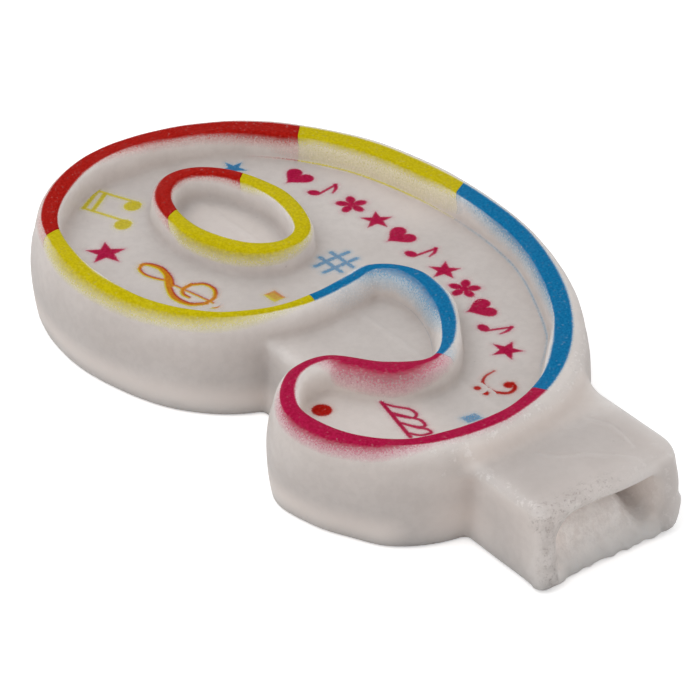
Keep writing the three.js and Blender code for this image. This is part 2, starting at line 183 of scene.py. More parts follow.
def ripple(p: Array, scale: float, seed: float) -> Array:
    """Slow, smooth unevenness from a few crossed waves, between about -1 and 1.

    Args:
        p: Points, one per row.
        scale: Length of the waves in millimetres.
        seed: Shifts the waves.

    Returns:
        One value per point.
    """
    total = np.zeros(len(p), p.dtype)
    for i in range(5):
        angle = seed * 1.7 + i * 2.4
        lean = math.sin(seed + i * 1.3) * 0.6
        way = np.array([math.cos(angle), math.sin(angle), lean], p.dtype)
        total += np.sin(p @ (way * (math.tau / scale) * (0.8 + 0.17 * i)) + seed * (3.1 + i))
    return total / 2.6


class ClosedCurve:
    """Smooth closed curve through knots, with a table of distances from it."""

    # Cell of the table, and how far it reaches past the curve
    PITCH = 0.2
    MARGIN = 7.0

    def __init__(self, knots: Sequence[tuple[float, float]], spacing: float = 0.3) -> None:
        """Samples the curve at an even spacing.

        Args:
            knots: Points that the curve passes through, clockwise.
            spacing: Distance between samples.
        """
        rough = self._through(np.array(knots, float), steps=60)
        steps = np.linalg.norm(np.roll(rough, -1, 0) - rough, axis=1)
        self.length = float(steps.sum())
        count = int(self.length / spacing)
        at = np.concatenate([[0], np.cumsum(steps)])
        closed = np.vstack([rough, rough[:1]])
        want = np.arange(count) * self.length / count
        self.points = np.stack([np.interp(want, at, closed[:, k]) for k in (0, 1)], 1)
        along = np.roll(self.points, -1, 0) - np.roll(self.points, 1, 0)
        along /= np.linalg.norm(along, axis=1)[:, None]
        self.outward = np.stack([-along[:, 1], along[:, 0]], 1)
        self.step = self.length / count
        self.origin = self.points.min(0) - self.MARGIN
        self.table = self._distances()

    @staticmethod
    def _through(knots: Array, steps: int) -> Array:
        """Centripetal spline through the knots.

        Args:
            knots: Points of a closed loop.
            steps: Samples between two knots.

        Returns:
            Points on the curve.
        """
        out = []
        n = len(knots)
        for i in range(n):
            p = [knots[(i + k) % n] for k in (-1, 0, 1, 2)]
            t = [0.0]
            for a, b in zip(p, p[1:]):
                t.append(t[-1] + math.sqrt(float(np.linalg.norm(b - a))))
            u = np.linspace(t[1], t[2], steps, endpoint=False)[:, None]
            a1 = (t[1] - u) / (t[1] - t[0]) * p[0] + (u - t[0]) / (t[1] - t[0]) * p[1]
            a2 = (t[2] - u) / (t[2] - t[1]) * p[1] + (u - t[1]) / (t[2] - t[1]) * p[2]
            a3 = (t[3] - u) / (t[3] - t[2]) * p[2] + (u - t[2]) / (t[3] - t[2]) * p[3]
            b1 = (t[2] - u) / (t[2] - t[0]) * a1 + (u - t[0]) / (t[2] - t[0]) * a2
            b2 = (t[3] - u) / (t[3] - t[1]) * a2 + (u - t[1]) / (t[3] - t[1]) * a3
            out.append((t[2] - u) / (t[2] - t[1]) * b1 + (u - t[1]) / (t[2] - t[1]) * b2)
        return np.vstack(out)

    def _distances(self) -> Array:
        """Works out the table of distances.

        Returns:
            Signed distances from the curve on a grid, negative inside it.
        """
        span = self.points.max(0) + self.MARGIN - self.origin
        nx, ny = np.ceil(span / self.PITCH).astype(int) + 1
        xs = self.origin[0] + np.arange(nx) * self.PITCH
        ys = self.origin[1] + np.arange(ny) * self.PITCH
        a = self.points
        d = np.roll(a, -1, 0) - a
        dd = (d * d).sum(1)
        table = np.empty((nx, ny))
        for i, x in enumerate(xs):
            rx, ry = x - a[:, 0], ys[:, None] - a[None, :, 1]
            t = np.clip((rx * d[:, 0] + ry * d[:, 1]) / dd, 0, 1)
            far = (rx - t * d[:, 0]) ** 2 + (ry - t * d[:, 1]) ** 2
            crosses = (ry < 0) != (ry - d[:, 1] < 0)
            with np.errstate(divide="ignore", invalid="ignore"):
                left = x < a[:, 0] + ry * d[:, 0] / d[:, 1]
            inside = (crosses & left).sum(1) % 2 == 1
            table[i] = np.sqrt(far.min(1)) * np.where(inside, -1, 1)
        return table

    def distance(self, x: Array, y: Array) -> Array:
        """Signed distance of points from the curve, negative inside it.

        Args:
            x: X of each point.
            y: Y of each point.

        Returns:
            One distance per point, read from the table.
        """
        u = np.clip((x - self.origin[0]) / self.PITCH, 0, self.table.shape[0] - 1.001)
        v = np.clip((y - self.origin[1]) / self.PITCH, 0, self.table.shape[1] - 1.001)
        i, j = u.astype(int), v.astype(int)
        s, t = u - i, v - j
        low = self.table[i, j] * (1 - s) + self.table[i + 1, j] * s
        high = self.table[i, j + 1] * (1 - s) + self.table[i + 1, j + 1] * s
        return low * (1 - t) + high * t

    def at(self, along: Array) -> tuple[Array, Array]:
        """Points and outward directions at places along the curve.

        Args:
            along: Distances along the curve from its first knot.

        Returns:
            The points and the outward unit directions there.
        """
        spot = along % self.length / self.step
        low = spot.astype(int) % len(self.points)
        high = (low + 1) % len(self.points)
        share = (spot - np.floor(spot))[:, None]
        points, outward = (v[low] * (1 - share) + v[high] * share for v in (self.points, self.outward))
        return points, outward


class WaxShape:
    """Formula for the wax: a field that is negative inside it and 0 on its surface."""

    # Place, reach and change of width where the rib is slimmer or wider
    UNEVEN = (
        (-5.0, 0.0, 9.0, -0.45), (5.5, -4.5, 8.0, 0.8), (-17.0, 6.0, 13.0, -0.6),
        (14.0, -17.0, 15.0, 0.45), (7.5, -25.5, 11.0, 0.85), (-19.5, -15.0, 7.0, 0.3),
        (-5.5, -28.5, 11.0, 0.4),
    )

    # Folds of the cooling wax on the plinth's upper face
    FOLDS = (
        ((-2.7, -31.5), (-1.3, -33.6), (1.2, -34.6), (2.9, -36.3), (4.5, -38.2)),
        ((5.5, -30.5), (6.5, -32.3), (6.4, -34.2), (5.8, -36.6)),
        ((7.7, -37.6), (8.2, -38.3), (8.6, -38.9)),
    )

    FOLD_HEIGHT = 0.17
    FOLD_WIDTH = 0.26

    # Place, reach and change of the wall's foot
    FOOT = ((-16.0, 3.0, 12.0, 0.45), (-21.0, -19.5, 8.0, -0.7))

    def __init__(self, levels: Levels, plinth: Plinth) -> None:
        """Prepares the two curves that the section follows.

        Args:
            levels: Heights and sizes of a section.
            plinth: Sizes of the plinth and its socket.
        """
        self.levels = levels
        self.plinth = plinth
        self.outer = ClosedCurve(OUTLINE)
        self.counter = ClosedCurve(COUNTER)

    def swell(self, z: Array) -> Array:
        """How far the side wall stands outside the crest's edge at a height.

        Args:
            z: Heights above the back.

        Returns:
            One distance per height, largest at the parting line.
        """
        v = self.levels
        below = np.clip((v.parting - z) / v.parting, 0, 1.4) ** 2 * (v.parting_swell - v.back_swell)
        rise = np.clip((z - v.parting) / (v.crest - v.parting), 0, 1.2)
        above = rise**1.7 * (v.parting_swell - v.crest_swell)
        return v.parting_swell - below - above

    def rib_width(self, x: Array, y: Array) -> Array:
        """Width of the outer rib's crest, which the mould's core left uneven.

        Args:
            x: X of each point.
            y: Y of each point.

        Returns:
            One width per point.
        """
        width = np.full(np.shape(x), self.levels.rib)
        for cx, cy, reach, change in self.UNEVEN:
            width = width + change * local(x, y, cx, cy, reach)
        return width

    def recess(self, x: Array, y: Array) -> Array:
        """Distance from the recess's edge at the crest, negative in the recess."""
        sx, sy = self.levels.core_shift
        return self.outer.distance(x - sx, y - sy) + self.rib_width(x, y)

    def plinth_field(self, p: Array) -> Array:
        """Field of the plinth without its socket.

        Args:
            p: Points, one per row.

        Returns:
            One value per point, negative in the plinth.
        """
        k = self.plinth
        x, y, z = p[:, 0] - k.centre_x, p[:, 1], p[:, 2] - k.thickness / 2
        # The section: its edges are rounder and its sides bulge near the mouth
        near = 1 - smooth_step(0.0, 4.0, y - k.mouth_y)
        right, upper = x > 0, z > 0
        r = np.where(right, np.where(upper, 0.6 + 0.9 * near, 1.0 + 1.7 * near), np.where(upper, 0.7, 0.9))
        on_right, on_left = 0.1 + 0.2 * smooth_step(-0.6, -1.2, z), 0.3 * smooth_step(1.0, -4.0, z)
        bulge = near * np.where(right, on_right, on_left)
        wide = np.abs(x) - (k.half_width + bulge - 0.1 * (x < 0)) + r
        section = rounded(wide, np.abs(z) - k.thickness / 2 + r, r)
        # The mouth: its face leans, its lower lip stands out, and its right upper corner is worn round
        lean = k.mouth_lean * (z / k.thickness + 0.5)
        mouth = (k.mouth_y + lean - k.lower_lip * smooth_step(0.0, -4.5, z)) - y
        corner = smooth_step(4.0, 8.5, x) * smooth_step(0.5, 4.0, z)
        ends = meet(section, mouth, 1.5) * (1 - corner) + meet(section, mouth, 2.6) * corner
        # The wax: lumps round the lower lip, and folds on the upper face
        rough = (1 - smooth_step(0.5, 3.5, y - k.mouth_y)) * smooth_step(2.0, -3.0, z)
        ends = ends + rough * (0.08 * ripple(p, 2.7, 5.0) + 0.06 * ripple(p, 1.5, 6.0))
        ends = ends - self.flow(p[:, 0], y) * (z > 3.5)
        inside = -(self.outer.distance(p[:, 0], p[:, 1]) + 1.3)
        return np.maximum(ends, np.maximum(inside, y + 20.0))

    def flow(self, x: Array, y: Array) -> Array:
        """Height of the ridges where cooling wax folded on the plinth's upper face.

        Args:
            x: X of each point.
            y: Y of each point.

        Returns:
            One height per point.
        """
        high = np.zeros(len(x))
        for knots in self.FOLDS:
            for (ax, ay), (bx, by) in zip(knots, knots[1:]):
                dx, dy = bx - ax, by - ay
                t = np.clip(((x - ax) * dx + (y - ay) * dy) / (dx * dx + dy * dy), 0, 1)
                far = np.hypot(x - ax - t * dx, y - ay - t * dy)
                high = np.maximum(high, self.FOLD_HEIGHT * np.exp(-((far / self.FOLD_WIDTH) ** 2)))
        return high

    def slot_field(self, p: Array) -> Array:
        """Field of the socket, whose floor and right end slope out to a wide mouth.

        Args:
            p: Points, one per row.

        Returns:
            One value per point, negative in the socket.
        """
        k = self.plinth
        x, y, z = p[:, 0] - k.centre_x, p[:, 1], p[:, 2] - k.thickness / 2
        # How far the sides flare near the mouth, and more sharply at its lip
        near = np.clip((k.mouth_y + k.flare_depth - y) / k.flare_depth, 0, 1.2)
        lip = np.clip((k.mouth_y + k.lip_depth - y) / k.lip_depth, 0, 1.5) ** 2
        upper = k.slot_half_height + 0.3 * smooth_step(0.0, 6.0, x) + 0.15 * lip
        heap = k.ramp * smooth_step(-0.3, 4.6, y - k.mouth_y) * (1 - smooth_step(2.2, 6.4, x))
        lower = -k.slot_half_height - 0.9 * near**1.4 - 0.35 * lip + heap
        right = k.slot_half_width + 0.55 * near + 0.3 * lip
        left = -k.slot_half_width - 0.15 * lip + 0.8 * smooth_step(0.5, 4.0, y - k.mouth_y)
        r = k.slot_round
        section = rounded(np.maximum(x - right, left - x) + r, np.maximum(z - upper, lower - z) + r, r)
        rough = (0.12 * ripple(p, 2.6, 9.0) + 0.07 * ripple(p, 1.3, 3.0)) * smooth_step(1.0, -1.0, z)
        return np.maximum(section + rough, y - (k.mouth_y + k.slot_depth))

    def __call__(self, p: Array) -> Array:
        """Value of the field at points.

        Args:
            p: Points in millimetres, one per row.

        Returns:
            One value per point, negative in the wax.
        """
        v = self.levels
        x, y, z = p[:, 0], p[:, 1], p[:, 2]
        # The outer wall, with its swell at the parting line and its uneven foot
        edge = self.outer.distance(x, y)
        far = smooth_step(0.0, 22.0, y + 0.3 * x)
        foot = np.clip(1 - z / v.foot, 0, 1)
        wall = edge - self.swell(z) - 0.15 * far
        for cx, cy, reach, change in self.FOOT:
            wall = wall - foot * change * local(x, y, cx, cy, reach)
        # The recessed floor, with the web across the notch and its crease over the wick
        into = self.recess(x, y)
        ring = self.counter.distance(x, y)
        x0, x1, y0, y1 = v.web
        web = np.maximum.reduce([x0 - x, x - x1, y0 - y, y - y1])
        crease = v.crease_height * np.exp(-(((x - v.crease_x) / v.crease_width) ** 2)) * (z < v.floor + 1)
        floor = z - v.floor - crease
        low = meet(join(wall, web, 0.6), floor, 0.9)
        low = np.where(edge < -0.8, np.maximum(wall, floor), low)
        # The two ribs
        flare = v.rib_flare * np.clip((v.crest - z) / (v.crest - v.floor), -0.3, 1.2)
        shoulder = v.shoulder - v.shoulder_loss * far
        rim = meet(meet(wall, z - v.crest, shoulder), -into - flare, 0.6)
        aside = 0.42 * (1 - smooth_step(3.0, 9.0, np.hypot(x + 2.0, y - 28.5)))
        band = meet(aside - ring - flare, ring - aside - v.counter_rib - flare, 0.3)
        band = meet(band, z - v.crest + 0.05, 0.8)
        # All together with the plinth, less the socket
        body = join(join(low, rim, v.fillet), band, v.fillet)
        body = join(body, self.plinth_field(p), 0.7 + 1.2 * smooth_step(7.5, 8.8, z))
        body = meet(body, -self.slot_field(p), 1.0 + 0.9 * smooth_step(4.0, -2.0, x))
        body += sum(size * ripple(p, length, seed) for size, length, seed in v.waves)
        return meet(body, -z, 0.6)

    def slope(self, p: Array) -> Array:
        """Gradient of the field at points.

        Args:
            p: Points, one per row.

        Returns:
            One gradient per point.
        """
        h = 0.04
        out = np.empty_like(p)
        for k in range(3):
            step = np.zeros(3)
            step[k] = h
            out[:, k] = (self(p + step) - self(p - step)) / (2 * h)
        return out

    def settle(self, p: Array, rounds: int = 4, limit: float = 0.3) -> tuple[Array, Array]:
        """Moves points on to the surface.

        Args:
            p: Points near the surface.
            rounds: How many steps to take.
            limit: Longest single step.

        Returns:
            The points and the outward unit normals there.
        """
        p = p.copy()
        for _ in range(rounds):
            g = self.slope(p)
            size = np.maximum((g * g).sum(1), 0.05)
            move = -(self(p) / size)[:, None] * g
            far = np.linalg.norm(move, axis=1)
            p += move * (np.minimum(far, limit) / np.maximum(far, 1e-9))[:, None]
        g = self.slope(p)
        return p, g / np.maximum(np.linalg.norm(g, axis=1), 1e-9)[:, None]


CORNERS = np.array([(i, j, k) for i in (0, 1) for j in (0, 1) for k in (0, 1)])


def net_surface(shape: Field, low: Array, high: Array, pitch: float) -> tuple[Array, Array]:
    """Closed net of quads round the places where a field is negative.

    Args:
        shape: The field.
        low: Lowest corner of the box to search.
        high: Highest corner of the box.
        pitch: Size of a cell.

    Returns:
        The vertices and the quads, which face out of the shape.
    """
    counts = np.ceil((high - low) / pitch).astype(int) + 1
    axes = [low[k] + np.arange(counts[k]) * pitch for k in range(3)]
    values = np.empty(counts)
    for i, x in enumerate(axes[0]):
        y, z = np.meshgrid(axes[1], axes[2], indexing="ij")
        layer = np.stack([np.full(y.size, x), y.ravel(), z.ravel()], 1)
        values[i] = shape(layer).reshape(counts[1], counts[2])
    inside = values < 0
    total = sum(
        inside[i:counts[0] - 1 + i, j:counts[1] - 1 + j, k:counts[2] - 1 + k].astype(np.int8)
        for i, j, k in CORNERS
    )
    cells = np.argwhere((total > 0) & (total < 8))
    number = np.full(counts, -1)
    number[tuple(cells.T)] = np.arange(len(cells))
    gathered = np.zeros((len(cells), 3))
    hits = np.zeros(len(cells))
    for a in CORNERS:
        for axis in range(3):
            if a[axis]:
                continue
            b = a.copy()
            b[axis] = 1
            va = values[tuple((cells + a).T)]
            vb = values[tuple((cells + b).T)]
            cut = (va < 0) != (vb < 0)
            t = np.where(cut, va / np.where(cut, va - vb, 1.0), 0.0)
            spot = cells + a + t[:, None] * (b - a)
            gathered += spot * cut[:, None]
            hits += cut
    vertices = low + gathered / hits[:, None] * pitch
    quads = []
    for axis in range(3):
        u, v = (axis + 1) % 3, (axis + 2) % 3
        here = [slice(None)] * 3
        there = [slice(None)] * 3
        here[axis], there[axis] = slice(0, -1), slice(1, None)
        changed = inside[tuple(here)] != inside[tuple(there)]
        for out_of in (True, False):
            starts = np.argwhere(changed & (inside[tuple(here)] == out_of))
            du, dv = np.zeros(3, int), np.zeros(3, int)
            du[u], dv[v] = 1, 1
            ring = [starts - du - dv, starts - dv, starts, starts - du]
            quad = np.stack([number[tuple(c.T)] for c in ring], 1)
            quads.append(quad if out_of else quad[:, ::-1])
    return vertices, np.vstack(quads)


def make_mesh(name: str, points: Array, faces: Sequence[Sequence[int]] | Array) -> bpy.types.Object:
    """Makes a smooth object at the origin from points in millimetres.

    Args:
        name: Name of the object.
        points: Vertices in millimetres.
        faces: Corners of each face, facing out.

    Returns:
        The object, linked to the scene.
    """
    mesh = bpy.data.meshes.new(name)
    rows = faces.tolist() if isinstance(faces, np.ndarray) else faces
    mesh.from_pydata((points * MM).tolist(), [], rows)
    mesh.polygons.foreach_set("use_smooth", [True] * len(mesh.polygons))
    mesh.update()
    thing = bpy.data.objects.new(name, mesh)
    bpy.context.scene.collection.objects.link(thing)
    return thing


def add_values(thing: bpy.types.Object, name: str, values: Array) -> None:
    """Stores one number per vertex on a mesh."""
    layer = thing.data.attributes.new(name, "FLOAT", "POINT")
    layer.data.foreach_set("value", np.asarray(values, np.float32))


def thin_skin(
    points: Array, normals: Array, faces: list[list[int]], rise: float, sink: float,
) -> tuple[Array, list[list[int]]]:
    """Gives a sheet on the wax two sides and an edge, so that it is closed.

    Args:
        points: Vertices on the wax.
        normals: Outward normals there.
        faces: Faces of the sheet, facing out.
        rise: How far the upper side stands above the wax.
        sink: How far the lower side lies in it.

    Returns:
        The vertices, upper side first, and the faces.
    """
    count = len(points)
    layers = np.vstack([points + normals * rise, points - normals * sink])
    sides: dict[tuple[int, int], None] = {}
    for face in faces:
        for a, b in zip(face, face[1:] + face[:1]):
            if (b, a) in sides:
                del sides[(b, a)]
            else:
                sides[(a, b)] = None
    under = [[count + i for i in reversed(face)] for face in faces]
    rim = [[b, a, count + a, count + b] for a, b in sides]
    return layers, faces + under + rim


def skin_piece(
    name: str, sheet: tuple[Array, Array, list[list[int]]], depths: tuple[float, float],
    material: bpy.types.Material, **values: Array,
) -> bpy.types.Object:
    """Makes a sheet on the wax into a closed, dressed piece.

    Args:
        name: Name of the piece.
        sheet: Vertices on the wax, outward normals there, and faces.
        depths: How far the piece stands above the wax, and how far it lies in it.
        material: The ink.
        values: Numbers to store on its upper side. They are 0 on the lower side.

    Returns:
        The piece.
    """
    points, faces = thin_skin(*sheet, *depths)
    thing = make_mesh(name, points, faces)
    thing.data.materials.append(material)
    for label, upper in values.items():
        add_values(thing, label, np.concatenate([upper, upper * 0]))
    LOG.info("%s: %d faces", name, len(faces))
    return thing


# Distances from drawn figures in the plane, negative in the ink

FAR = 1e3
STAR_WAIST = 0.42
STAR_POINTS = 5
HEART_CORNERS = 40
PETALS = 5


def placed(x: float, y: float, size: float, turn: float) -> Callable[[float, float], tuple[float, float]]:
    """Way to put a figure's points in their place.

    Args:
        x: X of the figure's middle.
        y: Y of its middle.
        size: Length of a unit of the figure.
        turn: Angle that it is turned by, in radians.

    Returns:
        A function that turns a point of the figure into one of the plane.
    """

    def place(u: float, v: float) -> tuple[float, float]:
        """Point of the plane for a point of the figure."""
        return (x + size * (u * math.cos(turn) - v * math.sin(turn)),
                y + size * (u * math.sin(turn) + v * math.cos(turn)))

    return place


def through(knots: Sequence[tuple[float, float]], steps: int) -> Array:
    """Smooth open line through knots.

    Args:
        knots: Points that the line passes through.
        steps: Samples between two knots.

    Returns:
        Points on the line, one per row.
    """
    k = np.array(knots, float)
    padded = np.vstack([2 * k[0] - k[1], k, 2 * k[-1] - k[-2]])
    t = np.linspace(0, 1, steps, endpoint=False)[:, None]
    rows = []
    for a, b, c, d in zip(padded, padded[1:], padded[2:], padded[3:]):
        bend, twist = 2 * a - 5 * b + 4 * c - d, 3 * b - a - 3 * c + d
        rows.append(0.5 * (2 * b + (c - a) * t + bend * t**2 + twist * t**3))
    return np.vstack([*rows, padded[-2:-1]])


def disc(x: float, y: float, rx: float, ry: float | None = None, turn: float = 0.0) -> Field:
    """Filled ellipse.

    Args:
        x: X of its middle.
        y: Y of its middle.
        rx: Half of its length.
        ry: Half of its width, or nothing for a round disc.
        turn: Angle of its length from the X axis, in radians.

    Returns:
        The distance from the ellipse.
    """
    flat = rx if ry is None else ry

    def value(q: Array) -> Array:
        """Finds the distance from the ellipse's outline.

        Args:
            q: Points of the plane, one per row.

        Returns:
            One distance per point, negative in the ellipse.
        """
        dx, dy = q[:, 0] - x, q[:, 1] - y
        u = dx * math.cos(turn) + dy * math.sin(turn)
        v = -dx * math.sin(turn) + dy * math.cos(turn)
        return (np.hypot(u / rx, v / flat) - 1) * min(rx, flat)

    return value


def pen(knots: Sequence[tuple[float, float]], widths: Sequence[float]) -> Field:
    """Stroke of a pen through knots, with round ends.

    Args:
        knots: Points that the stroke passes through.
        widths: Widths of the stroke, spread evenly along it.

    Returns:
        The distance from the stroke.
    """
    k = through(knots, 12) if len(knots) > 2 else np.array(knots, float)
    half = np.interp(np.linspace(0, 1, len(k)), np.linspace(0, 1, len(widths)), np.array(widths) / 2)

    def value(q: Array) -> Array:
        """Finds the distance from the stroke's edge.

        Args:
            q: Points of the plane, one per row.

        Returns:
            One distance per point, negative in the stroke.
        """
        best = np.full(len(q), FAR)
        for a, b, ra, rb in zip(k, k[1:], half, half[1:]):
            d = b - a
            t = np.clip(((q - a) @ d) / max(float(d @ d), 1e-9), 0, 1)
            best = np.minimum(best, np.linalg.norm(q - a - t[:, None] * d, axis=1) - (ra + (rb - ra) * t))
        return best

    return value


def polygon(corners: Sequence[tuple[float, float]], soften: float = 0.0) -> Field:
    """Filled polygon with rounded corners.

    Args:
        corners: Its corners in order.
        soften: Radius of the rounding, which grows the figure by as much.

    Returns:
        The distance from the polygon.
    """
    a = np.array(corners, float)
    b = np.roll(a, -1, 0)

    def value(q: Array) -> Array:
        """Finds the distance from the polygon's edge.

        Args:
            q: Points of the plane, one per row.

        Returns:
            One distance per point, negative in the polygon.
        """
        best = np.full(len(q), FAR)
        inside = np.zeros(len(q), bool)
        for p, r in zip(a, b):
            d = r - p
            t = np.clip(((q - p) @ d) / float(d @ d), 0, 1)
            best = np.minimum(best, np.linalg.norm(q - p - t[:, None] * d, axis=1))
            cross = (p[1] > q[:, 1]) != (r[1] > q[:, 1])
            if d[1]:
                inside ^= cross & (q[:, 0] < p[0] + (q[:, 1] - p[1]) * d[0] / d[1])
        return np.where(inside, -best, best) - soften

    return value


def both(*parts: Field) -> Field:
    """Ink of several figures together."""
    return lambda q: np.minimum.reduce([part(q) for part in parts])


def star(x: float, y: float, radius: float, turn: float = math.pi / 2) -> Field:
    """Star of five points.

    Args:
        x: X of its middle.
        y: Y of its middle.
        radius: Distance of its points from the middle.
        turn: Angle of its first point, in radians.

    Returns:
        The distance from the star.
    """
    spots = []
    for i in range(2 * STAR_POINTS):
        reach = radius * (STAR_WAIST if i % 2 else 1.0)
        angle = turn + i * math.pi / STAR_POINTS
        spots.append((x + reach * math.cos(angle), y + reach * math.sin(angle)))
    return polygon(spots, 0.02)


def heart(x: float, y: float, size: float, turn: float) -> Field:
    """Heart with its tip down, turned about its middle.

    Args:
        x: X of its middle.
        y: Y of its middle.
        size: Half of its width.
        turn: Angle that it is turned by, in radians.

    Returns:
        The distance from the heart.
    """
    place = placed(x, y, size, turn)
    spots = []
    for i in range(HEART_CORNERS):
        t = i * math.tau / HEART_CORNERS
        v = (13 * math.cos(t) - 5 * math.cos(2 * t) - 2 * math.cos(3 * t) - math.cos(4 * t)) / 16
        spots.append(place(math.sin(t) ** 3, v))
    return polygon(spots)


def quaver(x: float, y: float, size: float, turn: float) -> Field:
    """Single note with one tail.

    Args:
        x: X of its middle.
        y: Y of its middle.
        size: Half of its height.
        turn: Angle that it is turned by, in radians.

    Returns:
        The distance from the note.
    """
    place = placed(x, y, size, turn)
    head = place(-0.3, -0.7)
    return both(
        disc(*head, size * 0.42, size * 0.32, turn + 0.4),
        pen([place(0.02, -0.7), place(0.02, 1.0)], [size * 0.19]),
        pen([place(0.0, 0.95), place(0.35, 0.6), place(0.55, 0.1)], [size * 0.28, size * 0.22, size * 0.1]),
    )


def flower(x: float, y: float, size: float, turn: float) -> Field:
    """Flower of five petals.

    Args:
        x: X of its middle.
        y: Y of its middle.
        size: Distance of its petals' tips from the middle.
        turn: Angle of its first petal, in radians.

    Returns:
        The distance from the flower.
    """
    petals = [disc(x, y, size * 0.3)]
    for i in range(PETALS):
        a = turn + i * math.tau / PETALS
        cx, cy = x + size * 0.58 * math.cos(a), y + size * 0.58 * math.sin(a)
        petals.append(disc(cx, cy, size * 0.44, size * 0.3, a))
    return both(*petals)


# Node groups and materials


class Nodes:
    """Short ways to add and wire nodes in one tree."""

    def __init__(self, tree: bpy.types.NodeTree) -> None:
        """Works on the tree."""
        self.tree = tree

    def wire(self, node: bpy.types.Node, links: dict) -> None:
        """Sets or links inputs of a node.

        Args:
            node: The node.
            links: Input name or number to a value or to another node's output.
        """
        for key, value in links.items():
            if isinstance(value, bpy.types.NodeSocket):
                self.tree.links.new(value, node.inputs[key])
            else:
                node.inputs[key].default_value = value

    def add(self, kind: str, links: dict | None = None, **settings: object) -> bpy.types.Node:
        """Adds a node.

        Args:
            kind: Blender's name of the node.
            links: Input name or number to a value or to another node's output.
            settings: Properties to set on the node.

        Returns:
            The node.
        """
        node = self.tree.nodes.new(kind)
        for key, value in settings.items():
            setattr(node, key, value)
        self.wire(node, links or {})
        return node

    def maths(self, operation: str, *values: object, clamp: bool = False) -> bpy.types.NodeSocket:
        """Adds a Math node and returns its output."""
        node = self.add("ShaderNodeMath", dict(enumerate(values)), operation=operation, use_clamp=clamp)
        return node.outputs[0]

    def times(self, *values: object, clamp: bool = False) -> bpy.types.NodeSocket:
        """Multiplies two values and returns the product."""
        return self.maths("MULTIPLY", *values, clamp=clamp)

    def attribute(self, name: str) -> bpy.types.NodeSocket:
        """Reads a number stored on the mesh."""
        return self.add("ShaderNodeAttribute", attribute_name=name).outputs["Fac"]

    def noise(
        self, where: bpy.types.NodeSocket, scale: float, detail: float = 2.0, rough: float = 0.5,
    ) -> bpy.types.NodeSocket:
        """Adds a noise pattern, with its scale per metre, and returns its value."""
        links = {"Vector": where, "Scale": scale, "Detail": detail, "Roughness": rough}
        return self.add("ShaderNodeTexNoise", links).outputs["Fac"]

    def ramp(
        self, value: bpy.types.NodeSocket, low: float, high: float, first: float = 0.0, last: float = 1.0,
    ) -> bpy.types.NodeSocket:
        """Maps a range smoothly to another and returns the value."""
        links = {"Value": value, "From Min": low, "From Max": high, "To Min": first, "To Max": last}
        return self.add("ShaderNodeMapRange", links, interpolation_type="SMOOTHSTEP").outputs["Result"]

    def tint(self, share: object, first: object, second: object) -> bpy.types.NodeSocket:
        """Mixes two colours.

        Args:
            share: Share of the second colour, or an output that gives it.
            first: Colour or output at a share of 0.
            second: Colour or output at a share of 1.

        Returns:
            The mixed colour's output.
        """
        node = self.add("ShaderNodeMix", {0: share, 6: first, 7: second}, data_type="RGBA")
        return node.outputs[2]

    def seen_by_camera(self, unseen: bpy.types.Node, seen: bpy.types.Node) -> bpy.types.NodeSocket:
        """Mixes two shaders.

        Args:
            unseen: Shader for all rays but the camera's.
            seen: Shader for the camera's rays.

        Returns:
            The mixed shader's output.
        """
        ray = self.add("ShaderNodeLightPath").outputs["Is Camera Ray"]
        links = {0: ray, 1: unseen.outputs[0], 2: seen.outputs[0]}
        return self.add("ShaderNodeMixShader", links).outputs[0]


def start_material(name: str) -> tuple[bpy.types.Material, Nodes, bpy.types.Node, bpy.types.NodeSocket]:
    """Starts a material.

    Args:
        name: Name of the material.

    Returns:
        The material, a helper for its tree, its shader and the places on the object.
    """
    material = bpy.data.materials.new(name)
    material.use_nodes = True
    n = Nodes(material.node_tree)
    return material, n, n.tree.nodes["Principled BSDF"], n.add("ShaderNodeTexCoord").outputs["Object"]


def group_nodes(
    name: str, inputs: Sequence[tuple[str, str, object]], outputs: Sequence[tuple[str, str]],
) -> tuple[bpy.types.NodeTree, bpy.types.Node, bpy.types.Node, Nodes]:
    """Starts a shader group with named sockets.

    Args:
        name: Name of the group.
        inputs: Name, socket type and default of each input.
        outputs: Name and socket type of each output.

    Returns:
        The tree, its input node, its output node and a helper for it.
    """
    tree = bpy.data.node_groups.new(name, "ShaderNodeTree")
    for label, kind, default in inputs:
        socket = tree.interface.new_socket(label, in_out="INPUT", socket_type=kind)
        if default is not None:
            socket.default_value = default
    for label, kind in outputs:
        tree.interface.new_socket(label, in_out="OUTPUT", socket_type=kind)
    return tree, tree.nodes.new("NodeGroupInput"), tree.nodes.new("NodeGroupOutput"), Nodes(tree)


def dust_group() -> bpy.types.NodeTree:
    """Small dark specks and fine dust, shared by wax and ink.

    Returns:
        The group, whose two outputs are masks.
    """
    tree, start, end, n = group_nodes(
        "dust",
        [("Vector", "NodeSocketVector", None), ("Amount", "NodeSocketFloat", 0.5)],
        [("Specks", "NodeSocketFloat"), ("Haze", "NodeSocketFloat")],
    )
    where, amount = start.outputs["Vector"], start.outputs["Amount"]
    cells = n.add("ShaderNodeTexVoronoi", {"Vector": where, "Scale": 900.0, "Randomness": 1.0})
    near = n.ramp(cells.outputs["Distance"], 0.16, 0.05)
    picked = n.ramp(n.noise(where, 420.0, 1.0), 0.60, 0.68)
    patch = n.ramp(n.noise(where, 70.0, 2.0), 0.35, 0.65)
    haze = n.ramp(n.noise(where, 260.0, 5.0, 0.65), 0.42, 0.75)
    n.wire(end, {
        "Specks": n.times(n.times(n.times(near, picked), patch), amount, clamp=True),
        "Haze": n.times(haze, amount, clamp=True),
    })
    return tree


